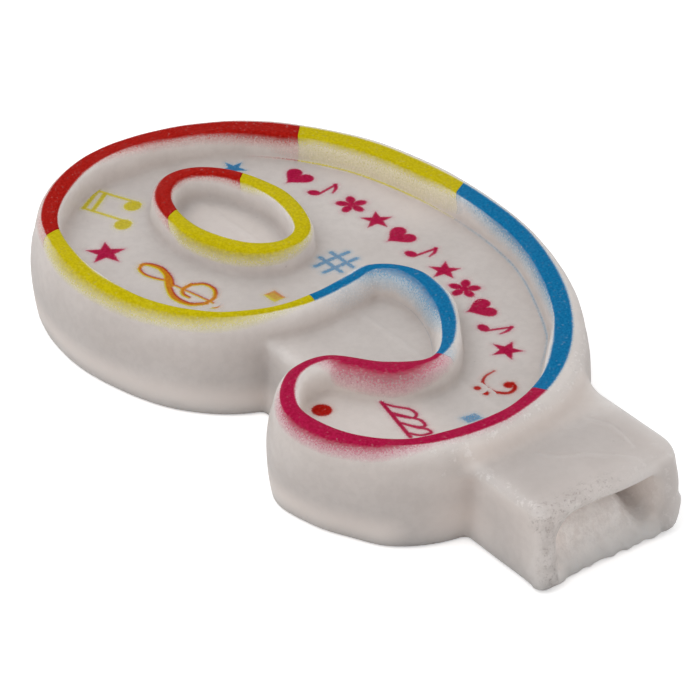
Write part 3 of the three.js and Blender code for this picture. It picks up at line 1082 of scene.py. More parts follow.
@dataclass(frozen=True)
class WaxFinish:
    """Pale paraffin wax: slightly see-through, with a skin from the mould.

    The colours are in sRGB from 0 to 255. The subsurface scale is in metres. Pale and grey are painted
    light and painted shade, and the socket's lumps and glow are painted light.
    """

    light: tuple[int, int, int] = (196, 189, 185)
    dull: tuple[int, int, int] = (187, 180, 176)
    grain: tuple[int, int, int] = (150, 141, 138)
    # Painted light and painted shade colours
    pale: tuple[int, int, int] = (228, 216, 209)
    grey: tuple[int, int, int] = (168, 161, 158)
    flake: tuple[int, int, int] = (222, 217, 214)
    # Painted light: the pale lumps in the socket
    lit_lump_low: tuple[int, int, int] = (225, 212, 205)
    lit_lump_high: tuple[int, int, int] = (245, 233, 226)
    # Painted light: the socket's inside glows in this colour
    glow: tuple[int, int, int] = (236, 226, 221)
    smear: tuple[int, int, int] = (158, 150, 146)
    grit: tuple[int, int, int] = (122, 113, 109)
    speck: tuple[int, int, int] = (98, 90, 86)
    subsurface_weight: float = 0.9
    subsurface_radius: tuple[float, float, float] = (1.0, 0.965, 0.94)
    subsurface_scale: float = 0.011

    # Scale per metre, detail and roughness of each noise
    CLOUDS = (95.0, 4.0, 0.6)
    FINE = (1100.0, 3.0, 0.6)
    LUMPS = (800.0, 4.0, 0.75)
    FLAKES = (1100.0, 4.0, 0.8)
    SMEARS = (620.0, 4.0, 0.7)
    GRIT = (2300.0, 4.0, 0.8)
    WAVES = (210.0, 2.0)
    GLOSS = (330.0, 3.0)

    def build(self, dust: bpy.types.NodeTree) -> bpy.types.Material:
        """Makes the material.

        Args:
            dust: The group of specks.

        Returns:
            The material.
        """
        material, n, shader, where = start_material("cast_wax")
        fine = n.noise(where, *self.FINE)
        lumps = n.noise(where, *self.LUMPS)
        lit_rough_socket = n.attribute("lit_rough_socket")
        flaked = n.times(n.attribute("worn"), n.ramp(n.noise(where, *self.FLAKES), 0.50, 0.66))
        # Clouded wax with a fine grain, with painted light and painted shade by place, and white where it
        # flaked
        cloud = n.ramp(n.noise(where, *self.CLOUDS), 0.3, 0.7)
        colour = n.tint(cloud, srgb(self.dull), srgb(self.light))
        colour = n.tint(n.ramp(fine, 0.4, 0.62, 0.0, 0.10), colour, srgb(self.grain))
        # Painted light makes the wax paler, painted shade makes it greyer
        painted_light_and_shade = n.attribute("painted_light_and_shade")
        colour = n.tint(n.times(painted_light_and_shade, 1.0, clamp=True), colour, srgb(self.pale))
        colour = n.tint(n.times(painted_light_and_shade, -1.0, clamp=True), colour, srgb(self.grey))
        colour = n.tint(n.times(flaked, 0.45), colour, srgb(self.flake))
        # Rough wax in the socket, painted much paler than the wax as painted light
        lit_lumps = n.tint(n.ramp(lumps, 0.36, 0.64), srgb(self.lit_lump_low), srgb(self.lit_lump_high))
        colour = n.tint(lit_rough_socket, colour, lit_lumps)
        # Dirt: smears, grit and specks
        soiled = n.attribute("soiled")
        smear = n.times(soiled, n.ramp(n.noise(where, *self.SMEARS), 0.36, 0.64, 0.0, 0.5))
        colour = n.tint(smear, colour, srgb(self.smear))
        grit = n.ramp(n.noise(where, *self.GRIT), 0.52, 0.66)
        colour = n.tint(n.times(n.times(soiled, grit), 0.7), colour, srgb(self.grit))
        dirt = n.add("ShaderNodeGroup", {"Vector": where, "Amount": 0.5}, node_tree=dust)
        colour = n.tint(n.times(dirt.outputs["Specks"], 0.55), colour, srgb(self.speck))
        # Unevenness of the skin
        height = n.maths("ADD", n.times(n.noise(where, *self.WAVES), 1.0), n.times(fine, 0.16))
        height = n.maths("ADD", height, n.times(flaked, 0.35))
        height = n.maths("ADD", height, n.times(n.times(lit_rough_socket, lumps), 1.5))
        bump = n.add("ShaderNodeBump", {"Height": height, "Strength": 0.55, "Distance": 0.00016})
        n.wire(shader, {
            "Base Color": colour,
            "Roughness": n.ramp(n.noise(where, *self.GLOSS), 0.3, 0.7, 0.42, 0.56),
            "Subsurface Weight": self.subsurface_weight,
            "Subsurface Radius": self.subsurface_radius,
            "Subsurface Scale": self.subsurface_scale,
            "Specular IOR Level": 0.3,
            # Painted light: the socket's inside glows a little
            "Emission Strength": 0.1,
            "Emission Color": n.tint(lit_rough_socket, (0, 0, 0, 1), srgb(self.glow)),
            "Normal": bump.outputs[0],
        })
        return material


@dataclass(frozen=True)
class InkFinish:
    """Thin printed ink that breaks into specks where it runs out.

    Deep is a share of the ink's own colour. Pale and thin are shares of the way from it to white.
    """

    ink: Ink
    slips: tuple[Ink, Ink] | None = None
    deep: tuple[float, float, float] = (0.92, 0.91, 0.92)
    pale: tuple[float, float, float] = (0.06, 0.05, 0.05)
    thin: tuple[float, float, float] = (0.30, 0.30, 0.30)
    haze: tuple[int, int, int] = (206, 196, 190)

    # Scale per metre, detail and roughness of each noise
    GRAIN = (3400.0, 2.0, 0.7)
    DOTS = (4600.0, 2.0, 0.7)
    PINHOLES = (3600.0, 1.0)

    def lighter(self, shares: Sequence[float]) -> tuple[float, float, float, float]:
        """The ink's colour, part of the way to white."""
        return srgb([c + (255 - c) * share for c, share in zip(self.ink.value, shares)])

    def build(self, dust: bpy.types.NodeTree) -> bpy.types.Material:
        """Makes the material.

        Args:
            dust: The group of specks.

        Returns:
            The material.
        """
        material, n, shader, where = start_material("print_" + self.ink.name.lower())
        cover = n.attribute("cover")
        # Grainy ink, paler where it is thin, and part of another ink where a mixed one slipped
        deep = srgb([c * share for c, share in zip(self.ink.value, self.deep)])
        grain = n.ramp(n.noise(where, *self.GRAIN), 0.34, 0.66)
        colour = n.tint(grain, deep, self.lighter(self.pale))
        colour = n.tint(n.ramp(cover, 0.9, 0.3), colour, self.lighter(self.thin))
        if self.slips:
            slip = n.attribute("slip")
            before, after = self.slips
            colour = n.tint(n.ramp(slip, 0.25, 0.8), colour, srgb(after.value))
            colour = n.tint(n.ramp(slip, -0.25, -0.8), colour, srgb(before.value))
        dirt = n.add("ShaderNodeGroup", {"Vector": where, "Amount": 0.7}, node_tree=dust)
        colour = n.tint(n.times(dirt.outputs["Haze"], 0.015), colour, srgb(self.haze))
        # It breaks up where the cover is neither full nor none
        dots = n.noise(where, *self.DOTS)
        loose = n.times(n.times(cover, n.maths("SUBTRACT", 1.0, cover)), 3.3)
        broken = n.maths("ADD", cover, n.times(n.maths("SUBTRACT", dots, 0.5), loose))
        pinholes = n.times(n.ramp(n.noise(where, *self.PINHOLES), 0.62, 0.76), 0.2)
        laid = n.maths("SUBTRACT", n.times(broken, 1.04), pinholes, clamp=True)
        # It lets shadow rays and diffuse rays by
        path = n.add("ShaderNodeLightPath")
        passes = n.maths("MAXIMUM", path.outputs["Is Shadow Ray"], path.outputs["Is Diffuse Ray"])
        bump = n.add("ShaderNodeBump", {"Height": dots, "Strength": 0.3, "Distance": 0.00004})
        n.wire(shader, {
            "Base Color": colour,
            "Roughness": 0.55,
            "Specular IOR Level": 0.02,
            "Alpha": n.times(laid, n.maths("SUBTRACT", 1.0, passes)),
            "Normal": bump.outputs[0],
        })
        return material


@dataclass(frozen=True)
class CottonFinish:
    """Waxed cotton of the wick. Shade is a share of its colour, between the fibres."""

    colour: tuple[int, int, int] = (226, 219, 202)
    shade: tuple[float, float, float] = (0.82, 0.8, 0.76)

    def build(self) -> bpy.types.Material:
        """Makes the material.

        Returns:
            The material.
        """
        material, n, shader, where = start_material("waxed_cotton")
        fibres = n.noise(where, 2400.0, 3.0, 0.7)
        dark = srgb([c * share for c, share in zip(self.colour, self.shade)])
        bump = n.add("ShaderNodeBump", {"Height": fibres, "Strength": 0.6, "Distance": 0.0001})
        n.wire(shader, {
            "Base Color": n.tint(n.ramp(fibres, 0.3, 0.7), dark, srgb(self.colour)),
            "Roughness": 0.7,
            "Normal": bump.outputs[0],
        })
        return material


# Pieces


@dataclass
class WaxBody:
    """The cast numeral with ribs, recessed floor, web, plinth and socket."""

    shape: WaxShape
    pitch: float = 0.345
    # Lowest and highest corner of the box that holds the wax
    low: tuple[float, float, float] = (-24.6, -41.6, -0.9)
    high: tuple[float, float, float] = (25.6, 42.2, 13.4)

    def build(self, material: bpy.types.Material) -> bpy.types.Object:
        """Meshes the wax and dresses it.

        Args:
            material: The wax.

        Returns:
            The piece.
        """
        points, quads = net_surface(self.shape, np.array(self.low), np.array(self.high), self.pitch)
        points, _ = self.shape.settle(points, 3, self.pitch * 0.5)
        thing = make_mesh("wax_numeral", points, quads)
        thing.data.materials.append(material)
        self.mark(thing, points)
        LOG.info("wax_numeral: %d quads", len(quads))
        return thing

    def mark(self, thing: bpy.types.Object, points: Array) -> None:
        """Stores on the mesh where the wax is worn or soiled, the socket's rough wax with its painted
        light, and painted light and shade elsewhere.

        Args:
            thing: The piece.
            points: Its vertices in millimetres.
        """
        x, y, z = points.T
        edge = self.shape.outer.distance(x, y)
        shoulder = smooth_step(10.2, 11.4, z) * smooth_step(-2.4, -1.0, edge)
        tail_end = (1 - smooth_step(-22.0, -17.0, y)) * shoulder
        mouth = (1 - smooth_step(-39.6, -37.5, y)) * 0.9
        under = (1 - smooth_step(0.2, 1.6, z)) * 0.5
        beside = smooth_step(-7.5, -8.6, x) * smooth_step(-26, -29, y)
        beside = beside * smooth_step(7.6, 9.2, z) * (y > -39)
        k = self.shape.plinth
        in_slot = smooth_step(1.0, 0.2, self.shape.slot_field(points))
        deep = smooth_step(k.mouth_y + 0.2, k.mouth_y + 2.4, y) * in_slot
        worn = np.maximum.reduce([tail_end, mouth * 0.5, under, beside, deep])
        add_values(thing, "worn", np.clip(worn, 0, 1))
        # Painted light in the socket, fading towards its right end and its top
        add_values(thing, "lit_rough_socket", deep * (1 - 0.75 * smooth_step(3.2, 6.6, x)) * smooth_step(7.6, 5.5, z))
        front = 1 - smooth_step(k.mouth_y + 0.3, k.mouth_y + 1.4, y)
        post = np.exp(-(((x + 7.9) / 1.2) ** 2)) * front * smooth_step(8.8, 6.5, z)
        lip = smooth_step(6.4, 7.4, z) * (1 - smooth_step(-39.0, -37.2, y)) * smooth_step(4.0, -2.0, x)
        add_values(thing, "soiled", np.clip(np.maximum(post, lip * 0.8), 0, 1) * (deep < 0.3))
        # Painted light and painted shade by place
        add_values(thing, "painted_light_and_shade", self.painted_light_and_shade(x, y, z, edge))

    def painted_light_and_shade(self, x: Array, y: Array, z: Array, edge: Array) -> Array:
        """How much paler (to 1) or greyer (to -1) the wax is painted, as painted light and painted shade by
        place.

        Args:
            x: X of each vertex.
            y: Y of each vertex.
            z: Z of each vertex.
            edge: Distance of each from the numeral's outline, negative inside it.

        Returns:
            One value per vertex.
        """
        k = self.shape.plinth
        # Painted light: paler in the corner by the tail, at the plinth's side, in the crease above the
        # plinth, at the lower lip, on the counter's floor, in the tail, on the bowl's wall and at the
        # walls' foot
        corner = np.exp(-(((x + 9.2) ** 2 + (y + 28.5) ** 2) / 18.0))
        corner = corner * (0.3 + 0.55 * smooth_step(6.5, 2.5, z)) * smooth_step(9.4, 7.5, z)
        side = 0.1 * smooth_step(-8.6, -9.0, x) * smooth_step(-28.5, -30.0, y)
        crease = smooth_step(3.4, 0.6, np.abs(edge - 0.4)) * smooth_step(-24.0, -26.0, y)
        crease = 0.33 * (crease * smooth_step(-11, -8.5, x)) * smooth_step(8.2, 9.2, z)
        crease = crease * smooth_step(11.9, 11.0, z) * (x < 14)
        lip = smooth_step(3.4, 1.8, z) * (1 - smooth_step(-39.2, -38.0, y))
        lip = lip * smooth_step(7.5, 6.5, np.abs(x))
        counter = 0.3 * smooth_step(-0.5, -2.5, self.shape.counter.distance(x, y))
        tail = 0.24 * smooth_step(-4.0, -8.0, x) * smooth_step(-9.0, -12.0, y) * (edge < -1.8)
        wall = 0.33 * smooth_step(12.0, 17.0, x) * smooth_step(4.0, 12.0, y) * (edge < -1.5)
        # Painted shade: greyer on the plinth's top and on the mouth's face
        top = -0.55 * smooth_step(-29.0, -32.0, y) * smooth_step(8.6, 9.2, z)
        face = -0.7 * smooth_step(5.5, 7.5, x) * (1 - smooth_step(k.mouth_y + 0.3, k.mouth_y + 1.3, y))
        clear = np.maximum(y > -18, smooth_step(-13.5, -17.0, x))
        foot = 0.9 * smooth_step(5.0, 1.5, z) * smooth_step(-2.0, -0.8, edge) * clear
        paler = np.maximum.reduce([corner, side, crease, lip, counter, tail, wall, foot])
        return paler + np.minimum(top, face)


@dataclass(frozen=True)
class Spill:
    """Ink that ran or was sprayed past an edge of the solid band, between two places along a rib.

    It reaches past the edge by the reach, in the given amount, and thins out the faster the larger
    the fade is.
    """

    first: float
    last: float
    reach: float
    amount: float
    over_start: bool = False
    fade: float = 1.4

    def share(self, along: Array) -> Array:
        """Rises and falls between the two places, from 0 to 1.

        Args:
            along: Places along the rib.

        Returns:
            One share per place.
        """
        fade = (self.last - self.first) * 0.35
        rise = smooth_step(self.first, self.first + fade, along)
        return rise * (1 - smooth_step(self.last - fade, self.last, along))


@dataclass(frozen=True)
class Bands:
    """Where the ink lies across a rib.

    Each row of solid holds a place along the rib's first edge, and how far from that edge the
    solid ink starts and ends there. Lines of ink in the foot of a wall are spills too: their
    reach is the line's half width.
    """

    length: float
    solid: tuple[tuple[float, float, float], ...]
    spills: tuple[Spill, ...]
    feet: tuple[Spill, ...] = ()

    def edges(self, along: Array) -> tuple[Array, Array]:
        """Start and end of the solid ink at places along the rib.

        Args:
            along: Places along the rib.

        Returns:
            The distances from the rib's first edge where it starts and ends.
        """
        table = np.array(self.solid)
        places = np.concatenate([table[-1:, 0] - self.length, table[:, 0], table[:1, 0] + self.length])
        start, end = (np.concatenate([table[-1:, k], table[:, k], table[:1, k]]) for k in (1, 2))
        spot = along % self.length
        return np.interp(spot, places, start), np.interp(spot, places, end)

    def spilled(self, along: Array, far: Array, over_start: bool) -> tuple[Array, Array]:
        """Ink past one edge of the solid band.

        Args:
            along: Places along the rib.
            far: Distances past the edge, one row per place.
            over_start: Whether the edge is the start of the solid ink.

        Returns:
            The share of ink, and how far it reaches at each place.
        """
        spot = along % self.length
        total, reach = np.zeros(far.shape), np.full(len(along), 0.2)
        for spill in self.spills:
            if spill.over_start != over_start:
                continue
            here = np.maximum.reduce([spill.share(spot + turn * self.length) for turn in (0, -1, 1)])
            long = spill.reach * np.maximum(here, 1e-3) ** 0.5
            thinned = np.clip(1 - far / long[:, None], 0, 1) ** spill.fade
            drawn = spill.amount * here[:, None] ** 0.7 * thinned
            total = np.maximum(total, np.where(far > -0.3, drawn, 0))
            reach = np.maximum(reach, np.where(here > 0.01, long, 0))
        return total, reach


# Place along the rib's first edge, and where the solid ink starts and ends across it
RIM_SOLID = (
    (0, -0.05, 1.85), (5, -0.05, 1.90), (10, 0.15, 2.20), (15, 0.30, 2.65), (20, 0.35, 2.90),
    (26, 0.40, 2.60), (34, 0.45, 2.60), (46, 0.45, 2.60), (54, 0.50, 2.70), (60, 0.60, 2.70),
    (68, 0.75, 2.85), (75, 0.95, 2.95), (80, 1.15, 3.05), (85, 1.30, 2.95), (88, 1.15, 2.85),
    (92, 0.90, 2.55), (95, 0.55, 2.20), (100, 0.45, 1.95), (105, 0.40, 2.00), (108, 0.20, 1.75),
    (110, -0.10, 1.60), (114, -0.35, 1.60), (118, -0.25, 1.80), (122, 0.00, 1.80),
    (126, -0.05, 1.60), (130, -0.10, 1.40), (134, -0.40, 1.35), (137, -0.60, 1.60),
    (140, -0.10, 2.05), (143, 0.10, 1.30), (144.6, -0.05, 0.95), (147, -0.15, 1.35),
    (150, -0.15, 1.60), (155, 0.25, 2.05), (158, 0.45, 2.10), (161, 0.75, 2.45),
    (163.5, 0.30, 1.40), (167, 0.10, 1.30), (172, 0.00, 1.25), (176, -0.05, 1.15),
    (182, -0.30, 1.12), (187, -0.45, 1.05), (192, -0.55, 1.05), (198, -0.45, 1.10),
    (203, -0.30, 1.50), (207, -0.10, 1.80), (212, -0.05, 1.95), (218, -0.10, 1.95),
    (222, -0.10, 1.85),
)
RIM_SPILLS = (
    Spill(-6, 16, 0.8, 0.5, True), Spill(88, 110, 0.9, 0.3, True),
    Spill(101, 127, 1.7, 0.95, True, 0.8), Spill(128, 144, 1.2, 0.35, True),
    Spill(148, 168, 2.8, 0.85, True, 0.9), Spill(158, 172, 2.6, 0.2, True, 0.6),
    Spill(170, 216, 1.7, 0.95, True, 0.8), Spill(205, 236, 0.6, 0.4, True),
    Spill(-8, 34, 1.7, 1.0, fade=1.1), Spill(14, 50, 3.4, 0.42, fade=0.4),
    Spill(16, 50, 1.5, 1.0, fade=0.9), Spill(40, 78, 2.2, 0.8), Spill(130, 147, 3.4, 1.0, fade=0.7),
)
RIM_FEET = (Spill(14, 47, 0.13, 1.0), Spill(40, 86, 0.15, 0.45), Spill(145, 162, 0.12, 0.5, True))
RING_SOLID = (
    (0, 0.60, 2.55), (3, 0.40, 2.60), (6, 0.05, 2.35), (8, -0.10, 2.15), (12, -0.10, 2.05),
    (16, -0.05, 2.00), (20, 0.15, 2.10), (23, 0.30, 2.35), (26, 0.40, 2.50), (29, 0.25, 2.35),
    (31.5, 0.00, 2.05), (34, 0.10, 2.25), (37, 0.40, 2.35), (40, 0.50, 2.40),
)
RING_SPILLS = (
    Spill(-5, 11, 1.3, 0.95, True, 1.0), Spill(15, 37, 1.9, 1.0, fade=0.6), Spill(31, 43, 0.8, 0.6),
    Spill(33, 44, 1.0, 0.6, True),
)


@dataclass
class RimPrint:
    """Ink on the ribs: solid on the crests, broken where it ran down the walls.

    Pitch and stride are the spacing of its points across and along a rib, feather is half the
    width of the solid ink's soft edge, and batter is the slope of a rib's walls. Past is how far
    the ink may run out on the floor. The lines in the feet of the walls lie before_foot outside
    the first edge's wall, or past_foot outside the other. A run's slanted ends fade to straight
    over the turn.
    """

    shape: WaxShape
    rise: float = 0.055
    sink: float = 0.05
    feather: float = 0.2
    batter: float = 0.12
    pitch: float = 0.17
    stride: float = 0.22
    past: float = 0.5
    before_foot: float = 0.12
    past_foot: float = 0.18
    turn: float = 3.0

    def lay(
        self, t: Array, base: Array, out: Array, broad: Array, side: float, top: float,
    ) -> tuple[Array, Array]:
        """Lays a grid of points over the rib, on the wax.

        Args:
            t: Distance of each point from the rib's first edge along the wax.
            base: Point of the rib's first edge beside each point.
            out: The curve's outward direction there.
            broad: The crest's width there.
            side: -1 if the rib lies inside the curve, 1 if it lies outside.
            top: Height of the crest.

        Returns:
            The points and the wax's normals.
        """
        drop = top - self.shape.levels.floor
        wide = broad[:, None]
        past = np.clip(t - wide, 0, drop)
        before = np.clip(-t, 0, drop)
        across = np.clip(t, 0, wide) + past * self.batter - before * self.batter
        across += np.clip(t - wide - drop, 0, None) - np.clip(-t - drop, 0, None)
        p = np.empty((*t.shape, 3))
        p[..., :2] = base + out * (across[..., None] * side)
        p[..., 2] = top - past - before
        return self.shape.settle(p.reshape(-1, 3), 7, 0.25)

    def band(self, bands: Bands, places: Array, broad: Array, drop: float) -> tuple[Array, Array]:
        """Finds how far the ink reaches across the rib, and how well it covers the wax.

        Args:
            bands: Where the ink lies.
            places: Places along the rib.
            broad: The crest's width there.
            drop: Height of the rib over the floor.

        Returns:
            Distances from the rib's first edge, one row per place, and the cover there.
        """
        soft = self.feather
        start, end = bands.edges(places)
        nothing = np.zeros((len(places), 1))
        begin = start - soft - bands.spilled(places, nothing, True)[1]
        finish = end + soft + bands.spilled(places, nothing, False)[1]
        finish = np.minimum(finish, broad + drop + self.past)
        columns = int((finish - begin).max() / self.pitch) + 2
        mix = np.linspace(0, 1, columns)[None, :]
        t = begin[:, None] * (1 - mix) + finish[:, None] * mix
        before, past = start[:, None] - t, t - end[:, None]
        solid = smooth_step(-soft, soft, -before) * (1 - smooth_step(-soft, soft, past))
        ran = [bands.spilled(places, before, True)[0], bands.spilled(places, past, False)[0]]
        return t, np.maximum.reduce([solid, *ran])

    def strip(
        self, name: str, curve: ClosedCurve, span: tuple[float, float], slant: tuple[float, float],
        bands: Bands, side: float, top: float, material: bpy.types.Material,
    ) -> bpy.types.Object:
        """Makes one run of ink along a rib, with the lines in the feet of its walls.

        Args:
            name: Name of the piece.
            curve: Curve along the rib's first edge.
            span: Places along the curve where the run starts and ends.
            slant: How far the start and the end lean along the curve for each millimetre across it.
            bands: Where the ink lies.
            side: -1 if the rib lies inside the curve, 1 if it lies outside.
            top: Height of the rib's crest.
            material: The ink.

        Returns:
            The piece.
        """
        levels = self.shape.levels
        drop = top - levels.floor
        run = (span[1] - span[0]) % curve.length
        places = span[0] + np.linspace(0, run, int(run / self.stride) + 2)
        x, y = curve.at(places)[0].T
        broad = self.shape.recess(x, y) if side < 0 else np.full(len(x), levels.counter_rib + 0.2)
        t, cover = self.band(bands, places, broad, drop)
        sheets = [(t, np.arange(len(places)), cover)]
        for foot in bands.feet:
            share = foot.amount * foot.share(places % curve.length)
            rows = np.flatnonzero(share > 0.01)
            if len(rows) > 1:
                past_foot = broad[rows] + drop + self.past_foot
                middle = -drop - self.before_foot if foot.over_start else past_foot
                offset = np.linspace(-3, 3, 7)[None, :] * foot.reach
                t = np.broadcast_to(middle, len(rows))[:, None] + offset
                sheets.append((t, rows, share[rows, None] * np.exp(-((offset / foot.reach) ** 2))))
        gone = places - span[0]
        lean = slant[0] * (1 - smooth_step(0.0, self.turn, gone))
        lean = lean + slant[1] * smooth_step(run - self.turn, run, gone)
        points, normals, faces, covers = np.empty((0, 3)), np.empty((0, 3)), [], []
        for t, rows, amount in sheets:
            first, wide = len(points), t.shape[1]
            spots = places[rows, None] + lean[rows, None] * (np.clip(t, -1.5, 4.0) - 1.2)
            near, away = (v.reshape(*t.shape, 2) for v in curve.at(spots.ravel()))
            p, n = self.lay(t, near, away, broad[rows], side, top)
            points, normals = np.vstack([points, p]), np.vstack([normals, n])
            covers.append(amount.ravel())
            for i in range(len(rows) - 1):
                for a in range(first + i * wide, first + (i + 1) * wide - 1):
                    quad = [a, a + wide, a + wide + 1, a + 1]
                    faces.append(quad if side < 0 else quad[::-1])
        sheet = (points, normals, faces)
        return skin_piece(name, sheet, (self.rise, self.sink), material, cover=np.concatenate(covers))


@dataclass
class FloorPrint:
    """Motifs printed on the recessed floor.

    Haze is how far faint ink reaches past an outline, and slip is how far apart the inks of a
    mixed one lie. Faint is the haze's cover at the outline. Faces whose normal's Z is under the
    steepest are left out, because they stand on a rib's wall.
    """

    shape: WaxShape
    rise: float = 0.035
    sink: float = 0.05
    pitch: float = 0.1
    haze: float = 0.75
    faint: float = 0.28
    slip: tuple[float, float] = (0.13, 0.03)
    steepest: float = 0.75

    def net(self, ink: Field, box: tuple[float, float, float, float]) -> tuple[Array, list[list[int]]]:
        """Nets the part of the plane that a figure and its haze take up.

        Args:
            ink: Distance from the figure, negative in it.
            box: Lowest and highest X, then lowest and highest Y, of the figure.

        Returns:
            The vertices and the faces.
        """
        x0, x1, y0, y1 = box
        xs = np.arange(x0 - self.haze, x1 + self.haze, self.pitch)
        ys = np.arange(y0 - self.haze, y1 + self.haze, self.pitch)
        gx, gy = np.meshgrid(xs, ys, indexing="ij")
        value = ink(np.stack([gx.ravel(), gy.ravel()], 1)).reshape(gx.shape) - self.haze
        value = np.where(np.abs(value) < 1e-4, -1e-4, value)
        where: dict[tuple, int] = {}
        spots: list[tuple[float, float]] = []
        faces: list[list[int]] = []

        def number(key: tuple, x: float, y: float) -> int:
            """Finds the number of a vertex, which is added if it is new.

            Args:
                key: Corner of the grid, or the two ends of a side of it.
                x: X of the vertex.
                y: Y of the vertex.

            Returns:
                The vertex's number.
            """
            if key not in where:
                where[key] = len(spots)
                spots.append((x, y))
            return where[key]

        low = np.minimum.reduce([value[:-1, :-1], value[1:, :-1], value[:-1, 1:], value[1:, 1:]])
        for i, j in np.argwhere(low < 0).tolist():
            ring = [(i, j), (i + 1, j), (i + 1, j + 1), (i, j + 1)]
            face = []
            for a, b in zip(ring, ring[1:] + ring[:1]):
                ax, ay, bx, by = xs[a[0]], ys[a[1]], xs[b[0]], ys[b[1]]
                if value[a] < 0:
                    face.append(number(a, ax, ay))
                if (value[a] < 0) != (value[b] < 0):
                    t = value[a] / (value[a] - value[b])
                    face.append(number((min(a, b), max(a, b)), ax + (bx - ax) * t, ay + (by - ay) * t))
            if len(face) > 2:
                faces.append(face)
        return np.array(spots), faces

    def figure(
        self, name: str, ink: Field, box: tuple[float, float, float, float], material: bpy.types.Material,
        strength: float = 1.0, lean: float = 0.0,
    ) -> bpy.types.Object:
        """Makes one figure as a thin skin that fades out round the drawn outline.

        Args:
            name: Name of the piece.
            ink: Distance from the figure, negative in it.
            box: Lowest and highest X, then lowest and highest Y, of the figure.
            material: The ink.
            strength: Share of the ink that took on the wax.
            lean: Slip of the whole figure towards the last ink of a mixed one.

        Returns:
            The piece.
        """
        plan, faces = self.net(ink, box)
        depth = -ink(plan)
        p = np.column_stack([plan, np.full(len(plan), self.shape.levels.floor)])
        points, normals = self.shape.settle(p, 3, 0.3)
        # Faces on the ribs' walls are left out, and then the points that no face uses
        faces = [face for face in faces if normals[face, 2].min() > self.steepest]
        used, place = np.unique(np.concatenate(faces), return_inverse=True)
        cuts = np.cumsum([len(face) for face in faces])[:-1]
        faces = [part.tolist() for part in np.split(place, cuts)]
        plan, depth, points, normals = plan[used], depth[used], points[used], normals[used]
        faint = self.faint * np.clip(1 + depth / self.haze, 0, 1) ** 2
        cover = np.maximum(smooth_step(-0.24, 0.16, depth) * strength, faint)
        aside = np.array(self.slip)
        side = (ink(plan - aside) - ink(plan + aside)) / (2 * np.hypot(*self.slip))
        side = side * smooth_step(0.3, -0.1, depth - 0.1)
        sheet = (points, normals, faces)
        return skin_piece(name, sheet, (self.rise, self.sink), material, cover=cover, slip=side + lean)


